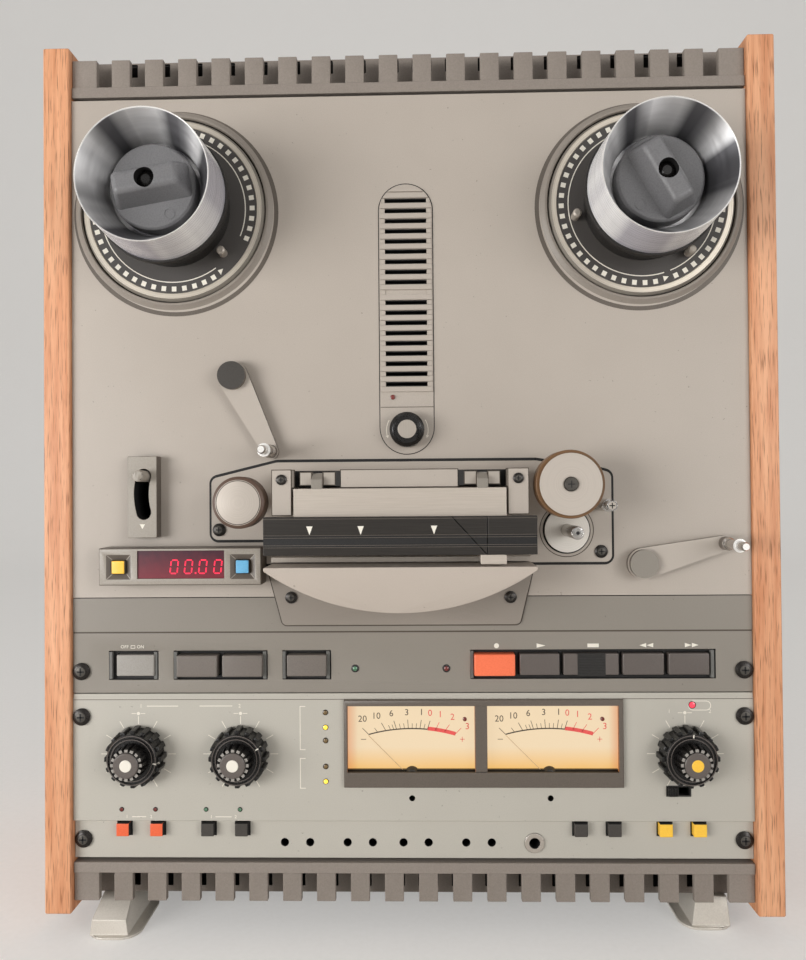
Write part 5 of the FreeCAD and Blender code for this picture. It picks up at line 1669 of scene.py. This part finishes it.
@dataclass
class Dial:
    """Two knobs on one axis: a lugged outer one, and a fluted inner one with a coloured dot."""

    name: str
    x: float
    dot: str
    pointer: float
    z: float = 109.2
    tick_r: tuple[float, float] = (18.0, 22.8)
    lug_count: int = 16
    flute_count: int = 16

    def outer(self) -> None:
        """Outer knob: a wide foot with lugs, ribs on its wall and a thin lip in front."""
        x, z = self.x, self.z
        lips = [(11.9, -12.2), (12.1, -13.0), (12.6, -13.0), (12.9, -12.2), (13.9, -12.2)]
        wall_line = [(14.1, -13.0), (14.6, -13.0), (15.1, -12.4), (15.5, -2.4), (15.9, -1.3)]
        profile = [(3.1, -12.2), *lips, *wall_line, (3.1, -1.3), (3.1, -12.2)]
        body = Shape.turned(f"{self.name}_outer_dial", profile, x, z, 96).smooth()
        lug = Shape.block("lug", (x - 1.8, -11.2, z + 14.0), (x + 1.8, -1.4, z + 17.6))
        with lug.editing():
            lug.pick(Pick.FACE, lambda c, n: n.y < -0.9)
            bpy.ops.transform.resize(value=(0.8, 1, 1), center_override=at(x, 0, z))
            lug.pick(Pick.VERT, lambda c, n: c.y < -9 and c.z > z + 16)
            bpy.ops.transform.translate(value=(0, 0, -0.5 * MM))
        lugs = spread(lug.smooth().broken(0.6, 3), self.lug_count, x, z)
        line = [round_the(x, z, radius, self.pointer) for radius in (13.0, 15.0)]
        side = [round_the(x, z, radius, self.pointer) for radius in (15.0, 16.2)]
        marks = [
            Shape.ribbon("lip_line", line, 0.7, -13.06, 0.3),
            Shape.ribbon("side_line", side, 0.7, -10.4, 0.6),
        ]
        from_axis = around(x, z)
        for shape in (body, lugs):
            shape.dress(
                PAINTS.gloss_black,
                (PAINTS.key_deep, lambda c, n: c.y < -12.9 and from_axis(c) > 12),
            )
        for shape in marks:
            shape.dress(PAINTS.ink)
        body.joined([lugs, *marks]).replaces(f"{self.name}_outer_knob")

    def inner(self) -> None:
        """Inner knob: a tapered fluted grip with a grey face and a dot."""
        x, z = self.x, self.z
        profile = [(9.2, -13.3), (7.9, -20.4), (7.4, -21.6), (6.9, -22.0), (3.5, -22.0)]
        body = Shape.turned(f"{self.name}_inner_dial", profile, x, z, 96).smooth().broken(
            0.2, 2, 25
        )
        flute = Shape.block("flute", (x - 1.05, -21.0, z + 7.0), (x + 1.05, -13.3, z + 10.2))
        with flute.editing():
            flute.pick(Pick.VERT, lambda c, n: c.y < -20 and c.z > z + 9)
            bpy.ops.transform.translate(value=(0, 0, -0.9 * MM))
        flutes = spread(flute.smooth().broken(0.3, 2), self.flute_count, x, z)
        dot = Shape.turned("dot", [(3.2, -22.3), (3.5, -22.1), (3.5, -21.5)], x, z, 48).smooth()
        body.dress(PAINTS.gloss_black, (PAINTS.key_deep, lambda c, n: c.y < -21.5))
        flutes.dress(PAINTS.gloss_black, (PAINTS.key_pale, lambda c, n: n.y < -0.8))
        dot.dress(PAINTS.yellow if self.dot == "yellow" else PAINTS.ink)
        body.joined([flutes, dot]).replaces(f"{self.name}_inner_knob")

    def ticks(self) -> list[Shape]:
        """Printed ticks round the dial, every 30 degrees."""
        return [
            Shape.ribbon(
                "tick",
                [round_the(self.x, self.z, radius, turn) for radius in self.tick_r],
                0.45,
                PANEL_PRINT,
            )
            for turn in range(-150, 151, 30)
        ]

    def build(self) -> list[Shape]:
        """Builds both knobs and gives the ticks, which belong to the panel."""
        self.outer()
        self.inner()
        return self.ticks()


@dataclass
class Meters:
    """Two level meters behind one window: bezel, card, printed scales and pointers."""

    pivots: tuple[float, float] = (0.9, 84.0)
    pivot_z: float = 93.3
    arc_centre: float = 24.9
    arc_r: float = 98.2
    face: float = 2.94
    # Clock angle of each tick, its figure, and the figure's place across from the pivot and up.
    scale: tuple[tuple[float, str, float, float], ...] = (
        (-45.0, "20", -30.0, 128.9), (-29.0, "10", -21.6, 130.7), (-17.5, "6", -12.4, 132.2),
        (-4.0, "3", -3.0, 132.8), (9.5, "1", 6.0, 132.9), (18.0, "0", 11.2, 132.4),
        (26.5, "1", 17.4, 131.6), (35.5, "2", 24.8, 130.0), (45.0, "3", 33.8, 124.3),
    )
    minor: tuple[float, ...] = (-37.0, -24.0, -20.5, -13.0, -8.5, 0.5, 5.0, 14.0)

    def on_arc(self, turn: float) -> float:
        """Distance from a pointer's pivot to the printed arc, at a clock angle."""
        drop = (self.pivot_z - self.arc_centre) * math.cos(math.radians(turn))
        return -drop + math.sqrt(drop**2 + self.arc_r**2 - (self.pivot_z - self.arc_centre) ** 2)

    def ray(self, x: float, turn: float, out: float) -> tuple[float, float]:
        """Gives the point on a scale at a clock angle, a distance outside the arc."""
        return round_the(x, self.pivot_z, self.on_arc(turn) + out, turn)

    def bezel(self) -> None:
        """Bezel with painted lamp light on its cheeks, painted shade above and below the window,
        and the card behind it.
        """

        def window(c: Vector) -> bool:
            return -2.8 < c.y < 3.0 and -38.5 < c.x < 125.2 and 98 < c.z < 139

        Shape.copied("meter_bezel", "meter_unit", 0.3).dress(
            PAINTS.bezel,
            (PAINTS.amber_wall, lambda c, n: window(c) and abs(n.x) > 0.7),
            (PAINTS.shadow, lambda c, n: window(c) and abs(n.z) > 0.7),
            (PAINTS.card, lambda c, n: 2.8 < c.y < 4.4 and -38.2 < c.x < 125 and n.y < -0.9),
        )

    def scales(self) -> None:
        """Printed arcs, ticks and figures: dark below zero, red above it."""
        dark, red, y = [], [], self.face
        for x in self.pivots:
            dark.append(
                Shape.ribbon("arc", [self.ray(x, turn, 0.0) for turn in range(-45, 19, 3)], 0.75, y)
            )
            red.append(
                Shape.ribbon("zone", [self.ray(x, turn, 0.5) for turn in range(18, 46, 3)], 2.3, y)
            )
            for number, (turn, text, across, height) in enumerate(self.scale):
                marks = dark if number < 5 else red
                lines = dark if number < 6 else red
                lines.append(
                    Shape.ribbon("tick", [self.ray(x, turn, 0.0), self.ray(x, turn, 5.4)], 0.35, y)
                )
                marks.append(
                    Shape.lettered("figure", text, 3.9, x + across, self.face + 0.03, height)
                )
            for turn in self.minor:
                dark.append(
                    Shape.ribbon("tick", [self.ray(x, turn, 0.0), self.ray(x, turn, 3.2)], 0.3, y)
                )
            mx, mz = x - 29.4, 116.6
            dark.append(Shape.ribbon("minus", [(mx - 1.6, mz), (mx + 1.6, mz)], 0.35, y))
            mx = x + 30.6
            red.append(Shape.ribbon("plus", [(mx - 1.5, mz), (mx + 1.5, mz)], 0.35, y))
            red.append(Shape.ribbon("plus", [(mx, mz - 1.5), (mx, mz + 1.5)], 0.35, y))
        printed("dark_scales", "meter_unit", PAINTS.ink_dark, dark)
        printed("red_scales", "meter_unit", PAINTS.ink_red, red)

    def fittings(self) -> None:
        """Pointer covers at the foot of each card, a painted shade bar along the window's foot,
        peak lamps, and the pointers.
        """
        covers = []
        for x in self.pivots:
            profile = [(2.0, -1.2), (3.4, -0.4), (4.2, 1.2), (4.6, 2.9)]
            covers.append(Shape.turned("cover", profile, x, self.pivot_z + 2.6, 48).smooth())
        # Painted shade: a dark bar over the foot of the card, where the window's lower edge shades
        # it.
        covers.append(Shape.block("sill", (-38.2, 1.0, 97.2), (125.0, 2.9, 99.0)))
        printed("pointer_covers", "meter_unit", PAINTS.abs_black, covers)
        lamps = [
            Shape.turned("peak", [(0.6, 1.6), (1.2, 2.0), (1.3, 2.9)], x + 32.2, 128.9, 24).smooth()
            for x in self.pivots
        ]
        printed("peak_lamps", "meter_unit", PAINTS.red_lamp, lamps)
        for side, x in zip(("left", "right"), self.pivots):
            line = [(x, self.pivot_z), self.ray(x, -45.0, 0.0)]
            Shape.ribbon(f"{side}_pointer", line, 0.3, 1.0, 0.4).dress(
                PAINTS.pointer
            ).replaces(f"{side}_needle")

    def build(self) -> None:
        """Builds the meters."""
        self.bezel()
        self.scales()
        self.fittings()
        log.info("meters built")


@dataclass
class Amplifier:
    """Lower panel with its dials, buttons and lamps."""

    column_x: float = -51.2
    column: tuple[tuple[float, bool], ...] = (
        (134.1, False), (125.1, True), (117.2, False), (101.6, False), (92.6, True)
    )
    brackets: tuple[tuple[float, float], ...] = ((137.7, 111.7), (106.4, 88.5))
    small_lamps: tuple[tuple[float, str], ...] = (
        (-175.6, "red"), (-155.0, "red"), (-124.1, "green"), (-103.4, "green")
    )
    small_z: float = 75.7
    slot: tuple[float, float, float, float] = (153.3, 167.3, 84.0, 89.7)

    def panel(self) -> None:
        """Stepped panel with dark holes."""
        Shape.copied("amplifier_front", "amplifier_panel", 0).dress(
            PAINTS.amp,
            (PAINTS.shadow, lambda c, n: wall(c, n) and not 67.6 < c.z < 69.0),
        )

    def dials(self) -> list[Shape]:
        """Three pairs of knobs."""
        filler = Shape.block("joint_strip", (-204.9, -1.04, 142.2), (204.9, 0.5, 145.6))
        printed("joint_strip", "amplifier_panel", PAINTS.amp, [filler])
        groove = Shape.ribbon("joint_groove", [(-204.9, 142.0), (204.9, 142.0)], 0.4, PANEL_PRINT)
        printed("joint_groove", "amplifier_panel", PAINTS.bezel, [groove])
        marks = []
        for name, x, dot, pointer in (
            ("input_1", -165.2, "cream", 98.0), ("input_2", -102.8, "cream", 62.0),
            ("output", 164.5, "yellow", 4.0),
        ):
            marks += Dial(name, x, dot, pointer).build()
            log.info("%s dial built", name)
        return marks

    def buttons(self) -> None:
        """Small push buttons with painted shade on their tops, right sides and the gaps round them,
        and the ribbed slide switch in its black slot.
        """
        paints = [PAINTS.small_orange] * 2 + [PAINTS.key_black] * 4 + [PAINTS.yellow] * 2
        gap_shades = []
        for number, paint in enumerate(paints, 1):
            # Painted shade on each button's top and right side.
            Shape.copied(f"push_button_{number}", f"small_button_{number}", 0.5).dress(
                paint, (PAINTS.shadow, lambda c, n: n.z > 0.8 or n.x > 0.8)
            )
            low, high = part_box(f"small_button_{number}")
            sides = ((low[0], -0.6), (high[0], 0.6), (low[2], -0.6), (high[2], 0.6))
            outline = rectangle(*(place / MM + gap for place, gap in sides))
            # Painted shade: a dark outline in the gap round each button.
            gap_shades.append(Shape.ribbon("frame", outline, 0.7, 1.44))
        printed("button_frames", "amplifier_panel", PAINTS.shadow, gap_shades)
        thumb = Shape.copied("slide_switch_thumb", "slide_switch", 0.3)
        low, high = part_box("slide_switch")
        face, left, right = face_of("slide_switch"), low[0] / MM, high[0] / MM
        ribs = [
            Shape.block("rib", (x - 0.35, face - 0.5, 84.6), (x + 0.35, face + 0.4, 89.1), 0.12)
            for x in [left + 0.8 + i * (right - left - 1.6) / 3 for i in range(4)]
        ]
        thumb.joined(ribs).dress(PAINTS.gloss_black)
        rim = Shape.ribbon("slot_rim", rectangle(*self.slot), 0.9, -1.12, 0.12)
        printed("slide_slot_rim", "amplifier_panel", PAINTS.abs_black, [rim])

    def lamps(self) -> None:
        """Column of amber lamps and the small red and green ones."""
        kinds = ("amber_lamp", "amber_off", "red_lamp", "green_lamp", "pink_lamp")
        groups: dict[str, list[Shape]] = {kind: [] for kind in kinds}
        rims = []

        def lens(group: str, x: float, z: float, radius: float) -> None:
            profile = [(radius * 0.5, -1.9), (radius * 0.9, -1.6), (radius, -1.0)]
            groups[group].append(Shape.turned("lens", profile, x, z, 24).smooth())
            wide = radius + 0.35
            ring = [(radius, -1.25), (wide, -1.15), (wide, -1.0), (radius, -1.0), (radius, -1.25)]
            rims.append(Shape.turned("rim", ring, x, z, 24).smooth())

        for z, alight in self.column:
            lens("amber_lamp" if alight else "amber_off", self.column_x, z, 1.35)
        for x, colour in self.small_lamps:
            lens(f"{colour}_lamp", x, self.small_z, 1.1)
        lens("pink_lamp", 168.9, 138.3, 1.9)
        for group, lenses in groups.items():
            printed(f"{group}_lenses", "amplifier_panel", getattr(PAINTS, group), lenses)
        printed("lens_rims", "amplifier_panel", PAINTS.screw, rims)

    def prints(self, ticks: Sequence[Shape]) -> None:
        """Printed ticks, brackets, lines, and the outline round the peak lamp."""
        marks, y = list(ticks), PANEL_PRINT
        for high, low in self.brackets:
            path = [(-63.4, high), (-66.6, high), (-66.6, low), (-63.4, low)]
            marks.append(Shape.ribbon("bracket", path, 0.45, y))
        z = 138.1
        for start, end in ((-160.0, -140.8), (-127.8, -107.8)):
            marks.append(Shape.ribbon("input_line", [(start, z), (end, z)], 0.45, y))
        left, right = sweep(169.4, 137.9, 2.7, 180, 360, 16), sweep(177.2, 137.9, 2.7, 0, 180, 16)
        marks.append(Shape.ribbon("lamp_outline", [*left, *right, left[0]], 0.45, y))
        for text, x in (("1", -163.6), ("2", -103.4), ("1", 155.2), ("2", 179.4)):
            marks.append(Shape.lettered("channel", text, 2.2, x, y + 0.03, 134.4 if x > 0 else z))
        for x in (-165.2, -102.8, 164.5):
            marks.append(Shape.prism("pip", sweep(x, 133.6, 1.0, 0, 345, 15), y, -1.0))
            marks.append(Shape.ribbon("pip_line", [(x - 4.2, 133.6), (x - 1.4, 133.6)], 0.35, y))
            marks.append(Shape.ribbon("pip_line", [(x + 1.4, 133.6), (x + 4.2, 133.6)], 0.35, y))
        for x, half in ((-165.0, 4.3), (-113.5, 4.9)):
            marks.append(Shape.ribbon("pair_line", [(x - half, 71.2), (x + half, 71.2)], 0.45, y))
            for text, way in (("1", -7.4), ("2", 7.4)):
                marks.append(Shape.lettered("pair", text, 2.0, x + way, y + 0.03, 71.2))
        printed("amplifier_symbols", "amplifier_panel", PAINTS.ink, marks)

    def build(self) -> None:
        """Builds the amplifier panel."""
        self.panel()
        ticks = self.dials()
        self.buttons()
        self.lamps()
        self.prints(ticks)
        Meters().build()
        log.info("amplifier panel built")


@dataclass
class Fittings:
    """Screws and sockets."""

    screws: tuple[tuple[float, float, float], ...] = (
        (-199.8, 159.3, 5.2), (-199.8, 56.9, 5.2), (-199.8, 131.8, 5.2),
        (199.8, 159.3, 5.2), (199.8, 56.9, 5.2), (199.8, 131.8, 5.2),
        (-114.6, 245.0, 3.9), (115.2, 230.6, 3.9), (-70.8, 274.5, 3.0),
        (62.0, 274.5, 3.0), (-71.1, 203.9, 3.6), (60.9, 203.6, 3.6),
    )
    phones: tuple[float, float] = (74.4, 54.9)

    def drive(self, x: float, z: float, radius: float) -> list[Shape]:
        """Gives the worn dish of a screw head and the dark cross in it."""
        corners = [drawn(v.co) for v in FRAME["nodes"]["panel_screws"].data.vertices]
        face = min(c.y for c in corners if math.hypot(c.x - x, c.z - z) < radius + 0.2)
        r = 0.56 * radius
        dish = Shape.turned(
            "dish", [(r - 0.2, face - 0.12), (r, face), (r, face + 0.2)], x, z, 32
        ).smooth()
        dish.dress(PAINTS.iron)
        cross = []
        for dx, dz in ((0.78 * r, 0.0), (0.0, 0.78 * r)):
            cross.append(
                Shape.ribbon("cross", [(x - dx, z - dz), (x + dx, z + dz)], 0.34 * r, face - 0.16)
            )
            cross[-1].dress(PAINTS.shadow)
        return [dish, *cross]

    def build(self) -> None:
        """Builds the screws and sockets."""
        Shape.copied("cross_head_screws", "panel_screws", 0.12).dress(PAINTS.screw)
        drives = [shape for screw in self.screws for shape in self.drive(*screw)]
        drives[0].joined(drives[1:]).rides("panel_screws")
        from_jack = around(*self.phones)
        Shape.copied("rear_and_phones_sockets", "sockets", 0.25).dress(
            PAINTS.zinc,
            (PAINTS.abs_black, lambda c, n: c.y > 100 and c.x > 100),
            (PAINTS.shadow, lambda c, n: from_jack(c) < 3.25 and abs(n.y) < 0.5 and c.y > 0.2),
            (PAINTS.steel, lambda c, n: from_jack(c) < 7 and c.y < 2),
            (PAINTS.drawn, lambda c, n: from_jack(c) < 7 and c.y < 2 and n.y < -0.8),
        )
        log.info("fittings built")


# ---------------------------------------------------------------- studio


@dataclass
class Studio:
    """Pale sweep, room, soft lamps and the camera of the photograph, its place in mm."""

    place: tuple[float, float, float] = (6.88, -462.57, 268.71)
    turn: tuple[float, float, float] = (90.69538, 0.45334, 1.25037)
    lens: float = 28.584
    # Each lamp's name, its place and aim in metres, its width in metres and its power in watts.
    lamps: tuple[tuple[str, tuple[float, ...], tuple[float, ...], float, float], ...] = (
        ("low_left_softbox", (-1.15, -1.05, 0.12), (0.0, 0.0, 0.2), 0.9, 26.0),
        ("right_softbox", (1.2, -1.35, 0.5), (0.1, 0.0, 0.32), 0.8, 10.0),
    )

    def camera(self) -> None:
        """Camera at the photograph's place and angle."""
        bpy.ops.object.camera_add(
            location=at(*self.place), rotation=[math.radians(angle) for angle in self.turn]
        )
        camera = bpy.context.active_object
        camera.name = "photograph_camera"
        camera.data.lens = self.lens
        camera.data.sensor_width = 36
        camera.data.clip_start = 0.01
        bpy.context.scene.camera = camera

    def sweep(self) -> None:
        """Floor that curves up into a backdrop."""
        bpy.ops.mesh.primitive_plane_add(size=1)
        floor = Shape("pale_sweep")
        with floor.editing():
            bpy.ops.mesh.select_all(action="SELECT")
            bpy.ops.transform.resize(value=(9, 6, 1), center_override=(0, 0, 0))
            floor.pick(Pick.EDGE, lambda c, d: c.y > 2000)
            bpy.ops.mesh.extrude_region_move(TRANSFORM_OT_translate={"value": (0, 0, 4)})
            floor.pick(Pick.EDGE, lambda c, d: c.y > 2000 and c.z < 10 and abs(d.x) > 1)
            bpy.ops.mesh.bevel(offset=1.0, segments=16, affect="EDGES")
        floor.smooth(60)
        floor.dress(
            Finish("pale studio paper", "#d6d3cf", "#cfccc7", Pattern.SPRAYED, 4.0, 0.5, 0.8, 0.02)
        )
        paper = floor.piece.data.materials[0].node_tree
        # The paper glows for the camera alone: pale in the picture, but not in the metal.
        seen = add_node(paper, "ShaderNodeLightPath").outputs["Is Camera Ray"]
        glow = add_node(paper, "ShaderNodeMath", {"operation": "MULTIPLY", 1: 0.3}, {0: seen})
        shader = paper.nodes["Principled BSDF"]
        shader.inputs["Emission Color"].default_value = (1.0, 0.985, 0.965, 1.0)
        paper.links.new(glow.outputs["Value"], shader.inputs["Emission Strength"])

    def room(self) -> None:
        """A plain pale world, which metal sees as a room with light and dark places."""
        world = bpy.data.worlds.new("studio")
        bpy.context.scene.world = world
        world.use_nodes = True
        tree = world.node_tree
        ground = tree.nodes["Background"]
        path = add_node(tree, "ShaderNodeLightPath")
        way = add_node(tree, "ShaderNodeTexCoord")
        axes = add_node(tree, "ShaderNodeSeparateXYZ", {}, {"Vector": way.outputs["Generated"]})
        # The room in front of the machine is dimmer than the paper behind it, as metal shows.
        room = add_node(
            tree,
            "ShaderNodeMapRange",
            {"From Min": -1.0, "From Max": 0.2, "To Min": 0.45, "To Max": 0.9},
            {"Value": axes.outputs["Y"]},
        )
        # Windows, walls and people round the machine, which give its metal light and dark streaks.
        clutter = add_node(
            tree,
            "ShaderNodeTexNoise",
            {"Scale": 1.7, "Detail": 1.0},
            {"Vector": way.outputs["Generated"]},
        )
        contrast = add_node(
            tree,
            "ShaderNodeMapRange",
            {"From Min": 0.36, "From Max": 0.64, "To Min": 0.25, "To Max": 1.75},
            {"Value": clutter.outputs["Fac"]},
        )
        mirrored = add_node(
            tree,
            "ShaderNodeMath",
            {"operation": "MULTIPLY"},
            {0: room.outputs["Result"], 1: contrast.outputs["Result"]},
        )
        plain = add_node(
            tree,
            "ShaderNodeMath",
            {"operation": "MULTIPLY_ADD", 1: 0.47, 2: 0.39},
            {0: path.outputs["Is Camera Ray"]},
        )
        bright = add_node(
            tree,
            "ShaderNodeMix",
            {},
            {
                0: path.outputs["Is Glossy Ray"],
                2: plain.outputs["Value"],
                3: mirrored.outputs["Value"],
            },
        )
        ground.inputs["Color"].default_value = (1.0, 0.985, 0.965, 1.0)
        tree.links.new(bright.outputs[0], ground.inputs["Strength"])
        bpy.context.scene.view_settings.view_transform = "Standard"

    def lights(self) -> None:
        """Two large soft lamps, the stronger one low on the left."""
        for name, spot, aim, size, power in self.lamps:
            bpy.ops.object.light_add(type="AREA", location=spot)
            lamp = bpy.context.active_object
            lamp.name = name
            lamp.data.shape = "SQUARE"
            lamp.data.size = size
            lamp.data.energy = power
            way = Vector(aim) - Vector(spot)
            lamp.rotation_mode = "QUATERNION"
            lamp.rotation_quaternion = way.to_track_quat("-Z", "Y")


def main() -> None:
    """Builds the studio and every sub-assembly in order."""
    logging.basicConfig(level=logging.INFO, format="%(name)s: %(message)s")
    studio = Studio()
    studio.camera()
    studio.sweep()
    studio.room()
    studio.lights()
    Case().build()
    ReelDrive("supply", -142.0, -10.0, (149.5, 7.5, 44), (144.0, 472.0), 140.0, 11.4).build()
    ReelDrive("takeup", 142.0, 60.0, (171.0, 7.5, 47), (163.3, 518.2), 161.0, 18.6).build()
    Deck().build()
    HeadAssembly().build()
    Transport().build()
    Amplifier().build()
    Fittings().build()


if __name__ == "__main__":
    main()
